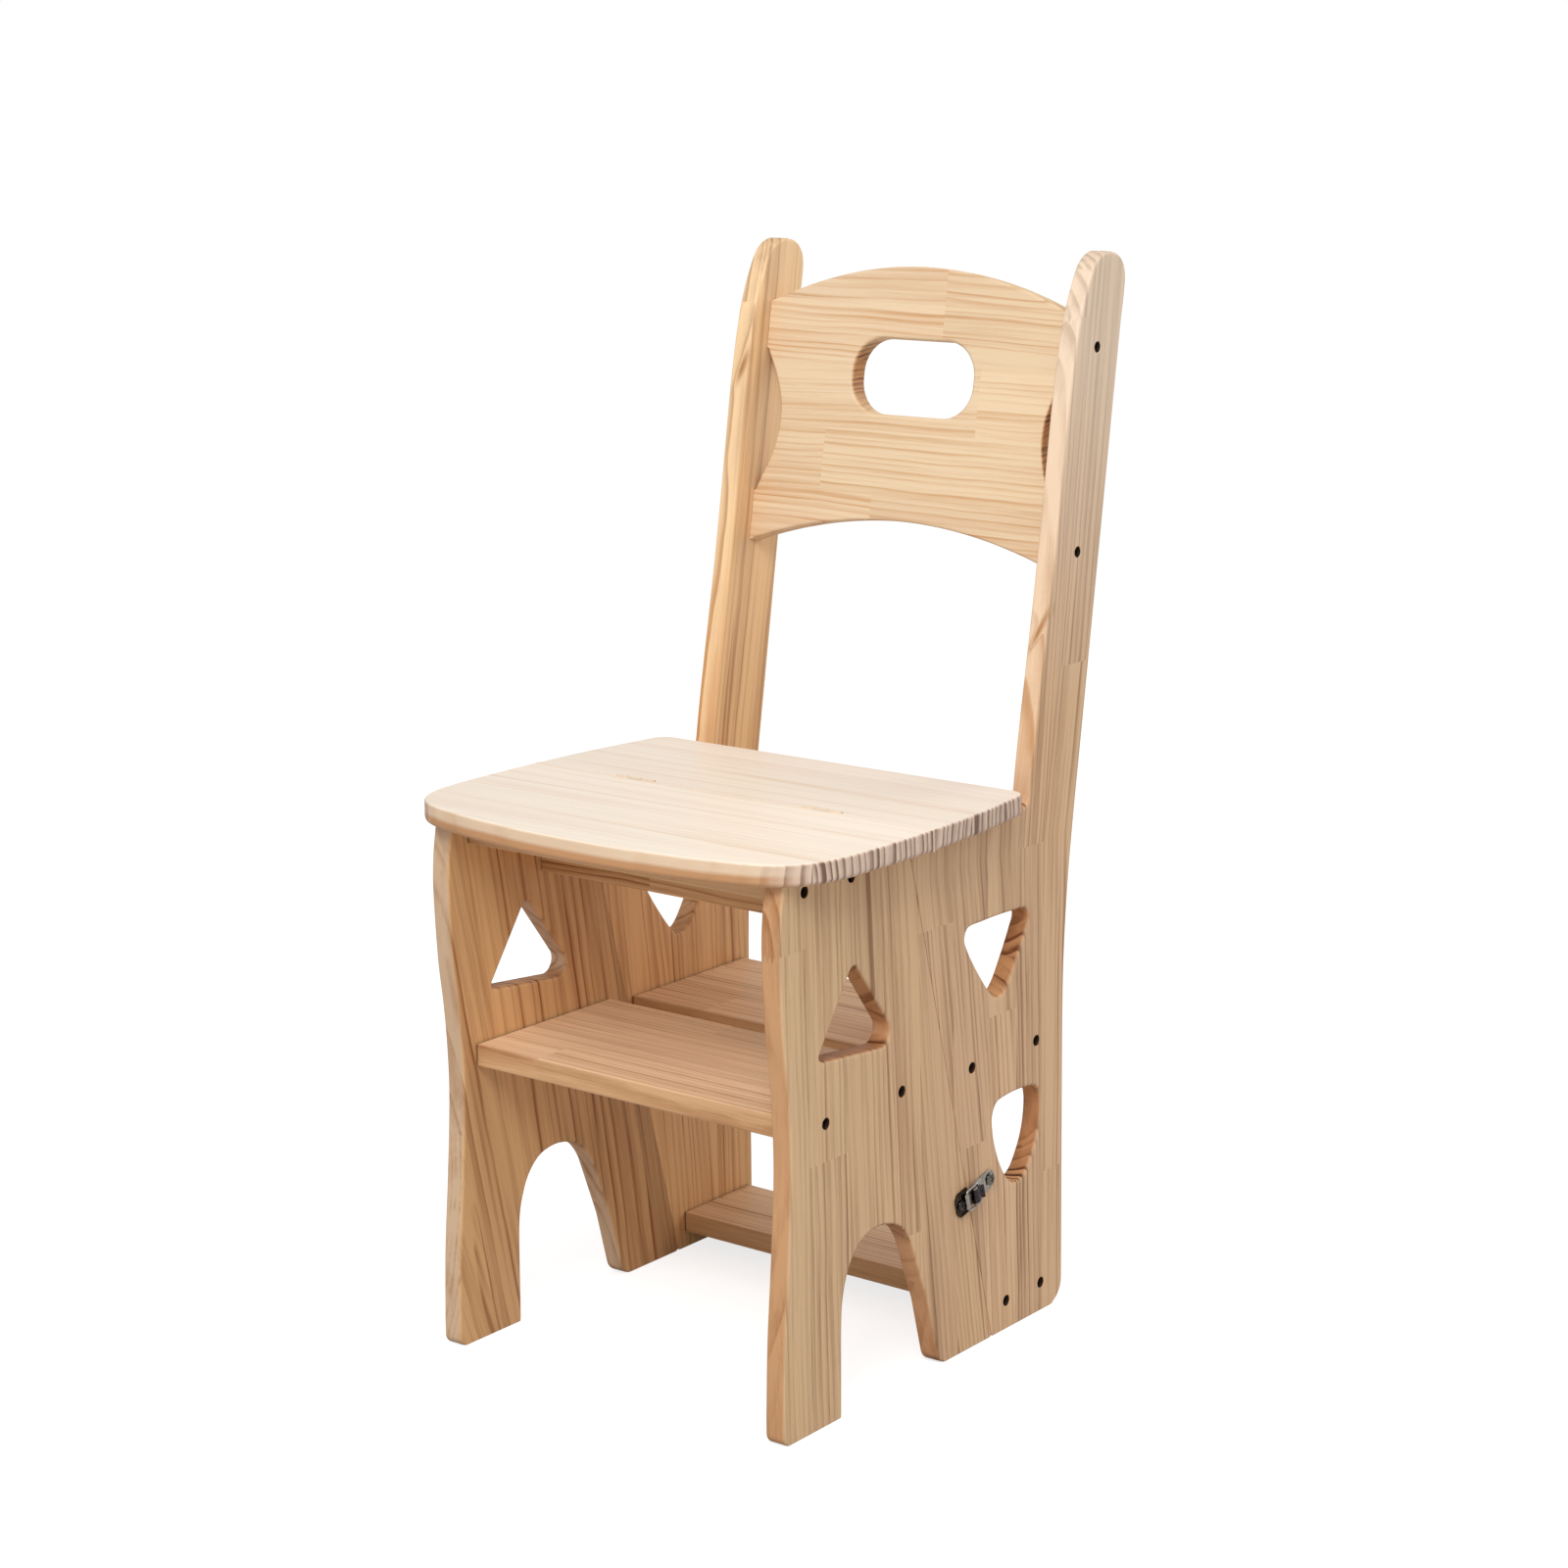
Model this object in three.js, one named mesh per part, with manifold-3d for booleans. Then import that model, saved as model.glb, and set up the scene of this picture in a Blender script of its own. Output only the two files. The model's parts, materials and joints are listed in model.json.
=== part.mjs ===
// Folding step stool chair in solid pine: a chair whose rear half swings up and
// over its front half to make a four-tread ladder.
// Millimetres. +Z up, +X to the sitter's left-right (width), +Y from front to rear.
import * as THREE from "three";
import { mergeVertices } from "three/addons/utils/BufferGeometryUtils.js";
import Module from "manifold-3d";

// ---------------------------------------------------------------- dimensions
const HALF_WIDTH = 175; // outer face of a side panel from the middle plane
const BOARD = 18; // thickness of every board
const GAP = 0.3; // glue line between two boards that meet
const INNER = HALF_WIDTH - BOARD; // inner face of a side panel
const CENTRE_Y = 211.5; // middle of the whole depth, from the front edge of the panels

const SEAT_TOP = 450;
const SEAT_UNDER = SEAT_TOP - BOARD;
const PANEL_TOP = SEAT_UNDER - GAP;
const SEAT_REAR = 297;

const HINGE_Y = 152; // hinge line of the fold, across the width
const HINGE_Z = SEAT_TOP + 0.3;
const SPLIT = 0.45; // half of the open gap along the parting line of the side panels
const SEAT_SPLIT = 0.3; // half of the open gap between the two seat boards
const SEAM_FOOT_Y = 270; // where the parting line of the side panels meets the floor
const SEAM_SLOPE = (SEAM_FOOT_Y - HINGE_Y) / HINGE_Z;
const seamY = (z) => HINGE_Y + (HINGE_Z - z) * SEAM_SLOPE;

const TREADS = {
  top_tread: { y: [20, 104], z: [PANEL_TOP - BOARD, PANEL_TOP - GAP], screws: [28, 85], body: "front" },
  mid_tread_front: { y: [24, 184], z: [230, 248], screws: [52, 148], body: "front" },
  mid_tread_rear: { y: [214, 363], z: [225, 243], screws: [242, 333], body: "rear" },
  bottom_tread: { y: [278, 366], z: [15, 33], screws: [291, 341], body: "rear" },
};
const APRON = { y: [104.3, 122.3], z: [374, PANEL_TOP - GAP] };

const BACK_LEAN = Math.atan2(27, 164); // lean of the backrest from the vertical
const BACK_ORIGIN = { y: 389, z: 630 }; // middle of the board at its lower screws
const BACK_SCREWS = [0, 166]; // along the board, from the origin
const BACK_END_LOW = -18;
const BACK_END_HIGH = 188.5;
const BACK_PEAK = 223.5;
const BACK_ARCH = 10;

const CONFIRMAT = { headR: 3.7, headT: 3, shankR: 2.5, length: 48, sunk: 3.6 };
const BORE_HEAD_R = 4.2;
const BORE_HEAD_DEPTH = 7;
const BORE_SHANK_R = 3;
const PILOT_R = 2.9;

const HINGE_X = 95; // middle of each seat hinge from the middle plane
const HINGE_HALF = 20;
const LEAF = [0.6, 1.6]; // a leaf's two faces, from the hinge line
const LEAF_LOW = 434.5;
const POCKET = 1.9;
const KNUCKLE_R = 1.5;
const KNUCKLE_BORE = 0.86;
const PIN_R = 0.72;
const LEAF_SCREW_X = 13;
const LEAF_SCREW_Z = 441;

const LATCH = { y: 236.34, z: 128.5 }; // where the latch crosses the parting line
const LATCH_TILT = Math.atan(SEAM_SLOPE); // the latch lies square to the parting line

// ---------------------------------------------------------------- materials
const mat = (color, roughness, metalness = 0) => new THREE.MeshStandardMaterial({ color, roughness, metalness });
const PINE_SIDE = mat(0xcda478, 0.55);
const PINE_SEAT = mat(0xefe0c8, 0.5);
const PINE_TREAD = mat(0xc79b6a, 0.55);
const PINE_BACK = mat(0xe9c690, 0.5);
const STEEL_DARK = mat(0x2b2320, 0.4, 0.9);
const ZINC = mat(0xb5b0a4, 0.35, 1);
const NICKEL = mat(0x5c5450, 0.3, 1);

// ---------------------------------------------------------------- solid tools
const wasm = await Module();
wasm.setup();

function solid(geometry) {
  const g = geometry.clone();
  g.deleteAttribute("normal");
  g.deleteAttribute("uv");
  const m = mergeVertices(g, 1e-4);
  return new wasm.Manifold(
    new wasm.Mesh({
      numProp: 3,
      vertProperties: new Float32Array(m.attributes.position.array),
      triVerts: new Uint32Array(m.index.array),
    }),
  );
}
function geometryOf(manifold) {
  const mesh = manifold.getMesh();
  const g = new THREE.BufferGeometry();
  g.setAttribute("position", new THREE.BufferAttribute(new Float32Array(mesh.vertProperties), 3));
  g.setIndex(new THREE.BufferAttribute(new Uint32Array(mesh.triVerts), 1));
  return g;
}
function cut(geometry, tools) {
  let s = solid(geometry);
  for (const t of tools) s = s.subtract(solid(t));
  return geometryOf(s);
}
function join(parts) {
  let s = solid(parts[0]);
  for (const p of parts.slice(1)) s = s.add(solid(p));
  return geometryOf(s);
}
function mirrored(geometry) {
  const g = geometry.clone().applyMatrix4(new THREE.Matrix4().makeScale(-1, 1, 1));
  const index = Array.from(g.index.array);
  for (let i = 0; i < index.length; i += 3) [index[i + 1], index[i + 2]] = [index[i + 2], index[i + 1]];
  g.setIndex(index);
  return g;
}
function block(x0, x1, y0, y1, z0, z1) {
  return new THREE.BoxGeometry(x1 - x0, y1 - y0, z1 - z0).translate((x0 + x1) / 2, (y0 + y1) / 2, (z0 + z1) / 2);
}
// a turned piece; profile rows are [radius, distance along the axis], on the axis at both ends
function turned(profile, sides, axis) {
  const g = new THREE.LatheGeometry(profile.map(([r, h]) => new THREE.Vector2(r, h)), sides);
  if (axis === "x") g.rotateZ(-Math.PI / 2); // +Y of the profile becomes +X
  if (axis === "y-") g.rotateZ(Math.PI);
  if (axis === "z") g.rotateX(Math.PI / 2);
  return g;
}
// a straight round bar between two ends
const bar = (r, from, to, sides, axis) => turned([[0, from], [r, from], [r, to], [0, to]], sides, axis);

// an outline with rounded corners; rows are [a, b, radius]
function rounded(rows, steps = 4) {
  const out = [];
  const n = rows.length;
  rows.forEach(([a, b, r = 0], i) => {
    if (!r) return out.push(new THREE.Vector2(a, b));
    const p = new THREE.Vector2(a, b);
    const before = new THREE.Vector2(...rows[(i + n - 1) % n].slice(0, 2)).sub(p).normalize();
    const after = new THREE.Vector2(...rows[(i + 1) % n].slice(0, 2)).sub(p).normalize();
    const half = Math.acos(before.dot(after)) / 2;
    const reach = r / Math.tan(half);
    const centre = before.clone().add(after).normalize().multiplyScalar(r / Math.sin(half)).add(p);
    const s = before.clone().multiplyScalar(reach).add(p).sub(centre);
    const e = after.clone().multiplyScalar(reach).add(p).sub(centre);
    let turn = Math.atan2(e.y, e.x) - Math.atan2(s.y, s.x);
    if (turn > Math.PI) turn -= 2 * Math.PI;
    if (turn < -Math.PI) turn += 2 * Math.PI;
    const a0 = Math.atan2(s.y, s.x);
    for (let k = 0; k <= steps; k++) {
      const t = a0 + (turn * k) / steps;
      out.push(new THREE.Vector2(centre.x + r * Math.cos(t), centre.y + r * Math.sin(t)));
    }
  });
  return out;
}
// a smooth open curve through the rows, as points
const smooth = (rows, count) => new THREE.SplineCurve(rows.map(([a, b]) => new THREE.Vector2(a, b))).getPoints(count);
const closedSmooth = (rows, count) => {
  const c = new THREE.CatmullRomCurve3(rows.map(([a, b]) => new THREE.Vector3(a, b, 0)), true, "centripetal");
  return c.getPoints(count).slice(0, -1).map((p) => new THREE.Vector2(p.x, p.y));
};
const extrude = (outline, depth, holes = []) => {
  const shape = new THREE.Shape(outline);
  for (const h of holes) shape.holes.push(new THREE.Path(h));
  return new THREE.ExtrudeGeometry(shape, { depth, bevelEnabled: false, steps: 1 });
};
// an outline drawn in (Y, Z), given thickness along X from x0
const ON_SIDE = new THREE.Matrix4().makeBasis(
  new THREE.Vector3(0, 1, 0),
  new THREE.Vector3(0, 0, 1),
  new THREE.Vector3(1, 0, 0),
);
const sideBoard = (outline, holes) => extrude(outline, BOARD, holes).applyMatrix4(ON_SIDE).translate(INNER, 0, 0);

// the stepped bore for one assembly screw, from the outer face of a side panel inwards
const screwBore = (y, z) =>
  turned(
    [
      [0, INNER - 1],
      [BORE_SHANK_R, INNER - 1],
      [BORE_SHANK_R, HALF_WIDTH - BORE_HEAD_DEPTH],
      [BORE_HEAD_R, HALF_WIDTH - BORE_HEAD_DEPTH],
      [BORE_HEAD_R, HALF_WIDTH + 1],
      [0, HALF_WIDTH + 1],
    ],
    10,
    "x",
  ).translate(0, y, z);
// the pilot bore in the end of a tread, on the +X end
const pilot = (y, z) => bar(PILOT_R, INNER - 40, INNER + 1, 10, "x").translate(0, y, z);
// blind bore for a latch screw, from the outer face
const latchBore = (y, z) => bar(1.9, HALF_WIDTH - 15, HALF_WIDTH + 1, 8, "x").translate(0, y, z);

// point of the latch's own frame (along, across) in (Y, Z)
const latchPoint = (u, v = 0) => [
  LATCH.y + u * Math.cos(LATCH_TILT) - v * Math.sin(LATCH_TILT),
  LATCH.z + u * Math.sin(LATCH_TILT) + v * Math.cos(LATCH_TILT),
];
const LATCH_SCREWS = { base: 28.8, catch: -12.8 };

// ---------------------------------------------------------------- side panels
const backAt = (s) => [BACK_ORIGIN.y + s * Math.sin(BACK_LEAN), BACK_ORIGIN.z + s * Math.cos(BACK_LEAN)];
const screwsOf = (body) =>
  Object.values(TREADS)
    .filter((t) => t.body === body)
    .flatMap((t) => t.screws.map((y) => [y, (t.z[0] + t.z[1]) / 2]));

const FRONT_OUTLINE = [
  ...rounded([[-2.2, 9], [-2.2, 0, 8], [20, 0]], 4).slice(1, -1),
  ...rounded([[40, 0], [70, 0, 3], [70.4, 30]], 2).slice(1, -1),
  ...smooth([[70.4, 60], [71.5, 88], [76, 107], [84, 123], [97, 134.5], [114, 138.5], [131, 136.5], [147, 129], [158, 116], [165, 100], [182, 56]], 22),
  ...rounded([[182, 56], [197, 0, 12], [230, 0]], 5).slice(1, -1),
  ...rounded([[230, 0], [seamY(0) - SPLIT, 0, 3], [seamY(20) - SPLIT, 20]], 2).slice(1, -1),
  new THREE.Vector2(seamY(PANEL_TOP) - SPLIT, PANEL_TOP),
  ...smooth([[2.4, PANEL_TOP], [-1.6, 405], [-2.6, 375], [0.6, 320], [5, 285], [8, 250], [9, 205], [5, 140], [0, 80], [-2.2, 20]], 18),
].filter((p, i, all) => !i || p.distanceTo(all[i - 1]) > 0.2);

const REAR_OUTLINE = [
  ...rounded([[seamY(20) + SPLIT, 20], [seamY(0) + SPLIT, 0, 3], [300, 0]], 2).slice(1, -1),
  ...rounded([[300, 0], [373, 0, 19], [373, 60]], 6).slice(1, -1),
  ...smooth([[373, 60], [372.5, 180], [372.6, 262], [374.6, 310], [379, 358], [386, 409], [396.4, 473]], 10),
  new THREE.Vector2(417, 600),
  new THREE.Vector2(437.6, 727),
  ...smooth([[451.5, 812], [456.5, 838], [457.3, 851], [453.5, 861], [445, 867.5], [431, 870], [420, 867], [410.5, 859], [403, 846], [396, 831], [389, 812], [381, 780]], 22),
  ...smooth([[374, 744], [367, 700], [359, 650], [350.5, 600], [341, 550], [331.5, 500], [325, 463], [322.3, 446], [320.5, 438.2], [316.5, 433.6], [310, PANEL_TOP]], 18),
  new THREE.Vector2(seamY(PANEL_TOP) + SPLIT, PANEL_TOP),
].filter((p, i, all) => !i || p.distanceTo(all[i - 1]) > 0.2);

const FRONT_WINDOW = rounded([[42, 289, 4], [87.5, 356, 5.5], [145, 279, 11]], 5);
const REAR_WINDOW_HIGH = closedSmooth(
  [[236, 348.5], [258, 350.4], [298, 350.2], [317, 348], [320.5, 341], [316, 331], [303, 309], [290, 290.5], [282, 285], [273, 285.5], [265, 293], [249, 313], [237, 331], [232.6, 341]],
  28,
);
const REAR_WINDOW_LOW = closedSmooth(
  [[277, 195], [290, 198], [318, 198], [333, 194.6], [338, 185], [337.6, 168], [332.6, 150], [324.6, 136], [318, 127.6], [310, 123.2], [301, 123], [294, 127], [286.5, 136.5], [278, 153], [272.6, 171], [271.6, 186]],
  28,
);

const frontPanel = cut(sideBoard(FRONT_OUTLINE, [FRONT_WINDOW]), [
  ...screwsOf("front").map(([y, z]) => screwBore(y, z)),
  latchBore(...latchPoint(LATCH_SCREWS.catch)),
]);
const rearPanel = cut(sideBoard(REAR_OUTLINE, [REAR_WINDOW_HIGH, REAR_WINDOW_LOW]), [
  ...screwsOf("rear").map(([y, z]) => screwBore(y, z)),
  ...BACK_SCREWS.map((s) => screwBore(...backAt(s))),
  latchBore(...latchPoint(LATCH_SCREWS.base)),
]);

// ---------------------------------------------------------------- seat boards
const SEAT_SIDE_FRONT = [[203.4, HINGE_Y - SEAT_SPLIT], [204, 120], [203.6, 85], [202.4, 55], [199.4, 32], [194.4, 16], [186, 3], [174.5, -6.9], [160, -13.6], [140, -19.3], [105, -26.5], [55, -32.6]];
const SEAT_SIDE_REAR = [[203.4, HINGE_Y + SEAT_SPLIT], [201.8, 190], [198.4, 230], [194, 262]];
const seatFrontHalf = smooth(SEAT_SIDE_FRONT, 16).filter((p) => p.y <= HINGE_Y - SEAT_SPLIT + 1e-6);
const seatFrontOutline = [
  ...seatFrontHalf.map((p) => new THREE.Vector2(-p.x, p.y)),
  new THREE.Vector2(0, -34.5),
  ...seatFrontHalf.slice().reverse(),
];
const rearSide = smooth(SEAT_SIDE_REAR, 5);
const rearCorner = rounded([[194, 262], [189, SEAT_REAR, 16], [150, SEAT_REAR]], 5).slice(1, -1);
const seatRearOutline = [
  ...rearSide,
  ...rearCorner,
  ...[...rearSide, ...rearCorner].reverse().map((p) => new THREE.Vector2(-p.x, p.y)),
];
const leafPocket = (cx, y0, y1) => block(cx - HINGE_HALF - GAP, cx + HINGE_HALF + GAP, y0, y1, LEAF_LOW - GAP, SEAT_TOP + 2);
const leafScrewBore = (x, toFront) =>
  bar(1.5, 0, 16, 8, "y").translate(x, toFront ? HINGE_Y - 17.5 : HINGE_Y + 1.5, LEAF_SCREW_Z);
const hingeXs = [-HINGE_X, HINGE_X];
const seatFront = cut(extrude(seatFrontOutline, BOARD).translate(0, 0, SEAT_UNDER), [
  ...hingeXs.map((x) => leafPocket(x, HINGE_Y - POCKET, HINGE_Y)),
  ...hingeXs.flatMap((x) => [x - LEAF_SCREW_X, x + LEAF_SCREW_X].map((sx) => leafScrewBore(sx, true))),
]);
const seatRear = cut(extrude(seatRearOutline, BOARD).translate(0, 0, SEAT_UNDER), [
  ...hingeXs.map((x) => leafPocket(x, HINGE_Y, HINGE_Y + POCKET)),
  ...hingeXs.flatMap((x) => [x - LEAF_SCREW_X, x + LEAF_SCREW_X].map((sx) => leafScrewBore(sx, false))),
]);

// ---------------------------------------------------------------- treads and apron
const SPAN = INNER - GAP;
function tread({ y, z, screws }) {
  const mid = (z[0] + z[1]) / 2;
  const tools = screws.flatMap((s) => {
    const g = pilot(s, mid);
    return [g, g.clone().rotateZ(Math.PI).translate(0, 2 * s, 0)];
  });
  return cut(block(-SPAN, SPAN, y[0], y[1], z[0], z[1]), tools);
}

// ---------------------------------------------------------------- backrest
function backrest() {
  const arc = (end, mid, n) =>
    Array.from({ length: n + 1 }, (_, i) => {
      const x = -SPAN + (2 * SPAN * i) / n;
      return [x, mid + (end - mid) * (x / SPAN) ** 2];
    });
  const notch = [[SPAN, 24], [SPAN - 6.2, 38], [SPAN - 15, 57], [SPAN - 19.8, 76], [SPAN - 20.7, 92], [SPAN - 18.5, 108], [SPAN - 11.5, 127], [SPAN - 2.8, 143], [SPAN, 149]];
  const outline = [
    ...arc(BACK_END_LOW, BACK_ARCH, 14),
    ...smooth(notch, 12).map((p) => [p.x, p.y]),
    ...arc(BACK_END_HIGH, BACK_PEAK, 14).reverse(),
    ...smooth(notch, 12).reverse().map((p) => [-p.x, p.y]),
  ].map(([x, s]) => new THREE.Vector2(x, s));
  const grip = rounded([[-61.5, 98.5, 29], [61.5, 98.5, 29], [61.5, 162.5, 29], [-61.5, 162.5, 29]], 6);
  // drawn in (X, along the board), thickness to the front (-Y)
  const board = extrude(outline, BOARD, [grip]).translate(0, 0, -BOARD / 2).rotateX(Math.PI / 2);
  const bores = BACK_SCREWS.flatMap((s) => {
    const g = pilot(0, s);
    return [g, g.clone().rotateZ(Math.PI)];
  });
  return cut(board, bores);
}

// ---------------------------------------------------------------- fasteners
const confirmat = (() => {
  const { headR, headT, shankR, length, sunk } = CONFIRMAT;
  const top = -sunk;
  // from the tip up to the head, which lies below the panel's face at 0; a round recess in the head
  return turned(
    [
      [0, top - length],
      [1.4, top - length + 0.6],
      [shankR, top - length + 5],
      [shankR, top - headT],
      [headR, top - headT + 0.4],
      [headR, top],
      [2, top],
      [2, top - 1.8],
      [0, top - 1.8],
    ],
    8,
    "x",
  );
})();
const leafScrew = turned([[0, -14], [1.05, -12], [1.05, -1.1], [1.95, -0.1], [0, -0.1]], 8, "none");
const latchScrew = (headR) =>
  turned([[0, -13], [1.4, -11], [1.4, 0.1], [headR, 0.1], [headR, 0.9], [headR * 0.6, 2.1], [0, 2.4]], 12, "z");

// ---------------------------------------------------------------- seat hinges
// local frame: X along the hinge line, Y to the rear, Z up, origin on the hinge line
function leaf(isFront) {
  const side = isFront ? -1 : 1;
  const [ya, yb] = isFront ? [-LEAF[1], -LEAF[0]] : LEAF;
  const low = LEAF_LOW - HINGE_Z;
  const spans = isFront ? [[-HINGE_HALF, -7.2], [7.2, HINGE_HALF]] : [[-6.8, 6.8]];
  const parts = [block(-HINGE_HALF, HINGE_HALF, ya, yb, low, -2.4)];
  for (const [a, b] of spans) {
    parts.push(block(a, b, ya, yb, -2.8, 0));
    parts.push(bar(KNUCKLE_R, a, b, 12, "x"));
  }
  const sink = turned([[0, -3], [1.4, -3], [1.4, -1.7], [2.35, -0.6], [2.35, 0], [0, 0]], 10, "none");
  const holes = [-LEAF_SCREW_X, LEAF_SCREW_X].map((x) => {
    const g = sink.clone();
    if (side > 0) g.rotateZ(Math.PI);
    return g.translate(x, 0, LEAF_SCREW_Z - HINGE_Z);
  });
  return cut(join(parts), [bar(KNUCKLE_BORE, -HINGE_HALF - 1, HINGE_HALF + 1, 10, "x"), ...holes]);
}
const hingePin = bar(PIN_R, -HINGE_HALF, HINGE_HALF, 10, "x");

// ---------------------------------------------------------------- latches
// local frame: X along the latch (to the rear), Y across it, Z out of the panel
const PIVOT = { u: 4.5, n: 4.4 };
const BAIL = { u: 9.6, n: 4.4, wire: 1, arm: 8.9, bar: -6.6 };
const flat = (outline, z0, z1) => extrude(outline, z1 - z0).translate(0, 0, z0);
// an outline drawn in (along, out), given width across from v0 to v1
const upright = (outline, v0, v1) =>
  extrude(outline, v1 - v0).applyMatrix4(
    new THREE.Matrix4().makeBasis(new THREE.Vector3(1, 0, 0), new THREE.Vector3(0, 0, 1), new THREE.Vector3(0, -1, 0)),
  ).translate(0, v1, 0);
const across = (r, v0, v1, u, n, sides) => bar(r, v0, v1, sides, "none").translate(u, 0, n);

const basePlate = cut(
  join([
    flat(rounded([[1, -8.2, 1], [35.6, -8.2, 7.8], [35.6, 8.2, 7.8], [1, 8.2, 1]], 5), 0.3, 1.5),
    ...[[-7.4, -6.2], [6.2, 7.4]].map(([a, b]) => upright(rounded([[1.7, 1.2], [7.3, 1.2], [7.3, 6.8, 2.4], [1.7, 6.8, 2.4]], 4), a, b)),
  ]),
  [across(1.25, -9, 9, PIVOT.u, PIVOT.n, 10), bar(1.9, -1, 3, 10, "z").translate(LATCH_SCREWS.base, 0, 0)],
);
const catchPlate = cut(
  join([
    flat(rounded([[-18.8, -10.6, 7], [-1, -10.6, 1.5], [-1, 10.6, 1.5], [-18.8, 10.6, 7]], 5), 0.3, 1.5),
    upright(rounded([[-2.2, 1.2], [-2.2, 3, 1.2], [-6.4, 3, 0.7], [-6.4, 2.1], [-3.8, 2.1], [-3.8, 1.2]], 2).reverse(), -6, 6),
  ]),
  [bar(1.9, -1, 3, 10, "z").translate(LATCH_SCREWS.catch, 0, 0)],
);
const leverSide = [
  ...Array.from({ length: 9 }, (_, i) => {
    const t = Math.PI * (0.5 + i / 8);
    return [PIVOT.u + 2.4 * Math.cos(t), PIVOT.n + 2.4 * Math.sin(t)];
  }),
  [11, 2],
  [13.2, 3.4],
  [14.6, 4.6],
  [14.6, 6.2],
  [4.5, 6.2],
].map(([u, n]) => new THREE.Vector2(u, n));
const lever = cut(
  join([
    ...[[-5.8, -4.6], [4.6, 5.8]].map(([a, b]) => upright(leverSide.map((p) => p.clone()), a, b)),
    flat(rounded([[4.5, -5.8], [20, -5.8, 3], [20, 5.8, 3], [4.5, 5.8]], 4), 5.8, 8.6),
    upright([[16.8, 6], [17.4, 4.4], [18.6, 3.9], [19.4, 6]].map((p) => new THREE.Vector2(...p)), -4.6, 4.6),
  ]),
  [across(1.25, -8, 8, PIVOT.u, PIVOT.n, 10), across(1.4, -8, 8, BAIL.u, BAIL.n, 10)],
);
const leverPin = join([across(0.9, -7.7, 7.7, PIVOT.u, PIVOT.n, 10)]);
const bail = (() => {
  const { u, n, wire, arm, bar: end } = BAIL;
  const path = new THREE.CurvePath();
  const P = (a, b) => new THREE.Vector3(a, b, n);
  const r = 2;
  const stops = [P(u, -3.9), P(u, -arm), P(end, -arm), P(end, arm), P(u, arm), P(u, 3.9)];
  let from = stops[0];
  for (let i = 1; i < stops.length - 1; i++) {
    const d0 = stops[i].clone().sub(stops[i - 1]).normalize();
    const d1 = stops[i + 1].clone().sub(stops[i]).normalize();
    const a = stops[i].clone().addScaledVector(d0, -r);
    const b = stops[i].clone().addScaledVector(d1, r);
    path.add(new THREE.LineCurve3(from, a));
    path.add(new THREE.QuadraticBezierCurve3(a, stops[i].clone(), b));
    from = b;
  }
  path.add(new THREE.LineCurve3(from, stops.at(-1)));
  const section = new THREE.Shape(
    Array.from({ length: 6 }, (_, i) => new THREE.Vector2(wire * Math.cos((i * Math.PI) / 3), wire * Math.sin((i * Math.PI) / 3))),
  );
  const loop = new THREE.ExtrudeGeometry(section, { extrudePath: path, steps: 38, bevelEnabled: false });
  // the stamped claw rolled round the bail's cross bar
  const claw = [[-9.2, 3.4], [-8.4, 5.2], [-6.4, 6.2], [-3.4, 5.6], [-2.8, 4.4], [-3.9, 3.9], [-6.4, 3.35], [-8.4, 3.3]];
  return join([loop, upright(claw.map((p) => new THREE.Vector2(...p)), -6.8, 6.8)]);
})();

// ---------------------------------------------------------------- assembly
const chair = new THREE.Group();
chair.position.set(0, -CENTRE_Y, 0);
const frontFrame = new THREE.Group();
const rearPivot = new THREE.Group(); // turns about the seat hinge line
rearPivot.position.set(0, HINGE_Y, HINGE_Z);
const rearFrame = new THREE.Group();
rearFrame.position.set(0, -HINGE_Y, -HINGE_Z);
rearPivot.add(rearFrame);
chair.add(frontFrame, rearPivot);

function add(group, name, geometry, material, x = 0, y = 0, z = 0) {
  const m = new THREE.Mesh(geometry, material);
  m.name = name;
  m.position.set(x, y, z);
  group.add(m);
  return m;
}

add(frontFrame, "side_panel_front_right", frontPanel, PINE_SIDE);
add(frontFrame, "side_panel_front_left", mirrored(frontPanel), PINE_SIDE);
add(rearFrame, "side_panel_rear_right", rearPanel, PINE_SIDE);
add(rearFrame, "side_panel_rear_left", mirrored(rearPanel), PINE_SIDE);
add(frontFrame, "seat_board_front", seatFront, PINE_SEAT);
add(rearFrame, "seat_board_rear", seatRear, PINE_SEAT);
for (const [name, t] of Object.entries(TREADS)) {
  add(t.body === "front" ? frontFrame : rearFrame, name, tread(t), PINE_TREAD);
}
add(frontFrame, "seat_apron", block(-SPAN, SPAN, ...APRON.y, ...APRON.z), PINE_TREAD);
add(rearFrame, "backrest_panel", backrest(), PINE_BACK, 0, BACK_ORIGIN.y, BACK_ORIGIN.z).rotation.x = -BACK_LEAN;

// assembly screws: one each side at every bore
function screwPair(group, name, y, z) {
  add(group, `${name}_right`, confirmat, STEEL_DARK, HALF_WIDTH, y, z);
  add(group, `${name}_left`, confirmat, STEEL_DARK, -HALF_WIDTH, y, z).rotation.z = Math.PI;
}
for (const [name, t] of Object.entries(TREADS)) {
  const group = t.body === "front" ? frontFrame : rearFrame;
  t.screws.forEach((y, i) => screwPair(group, `screw_${name}_${i + 1}`, y, (t.z[0] + t.z[1]) / 2));
}
BACK_SCREWS.forEach((s, i) => screwPair(rearFrame, `screw_backrest_${i + 1}`, ...backAt(s)));

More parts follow.
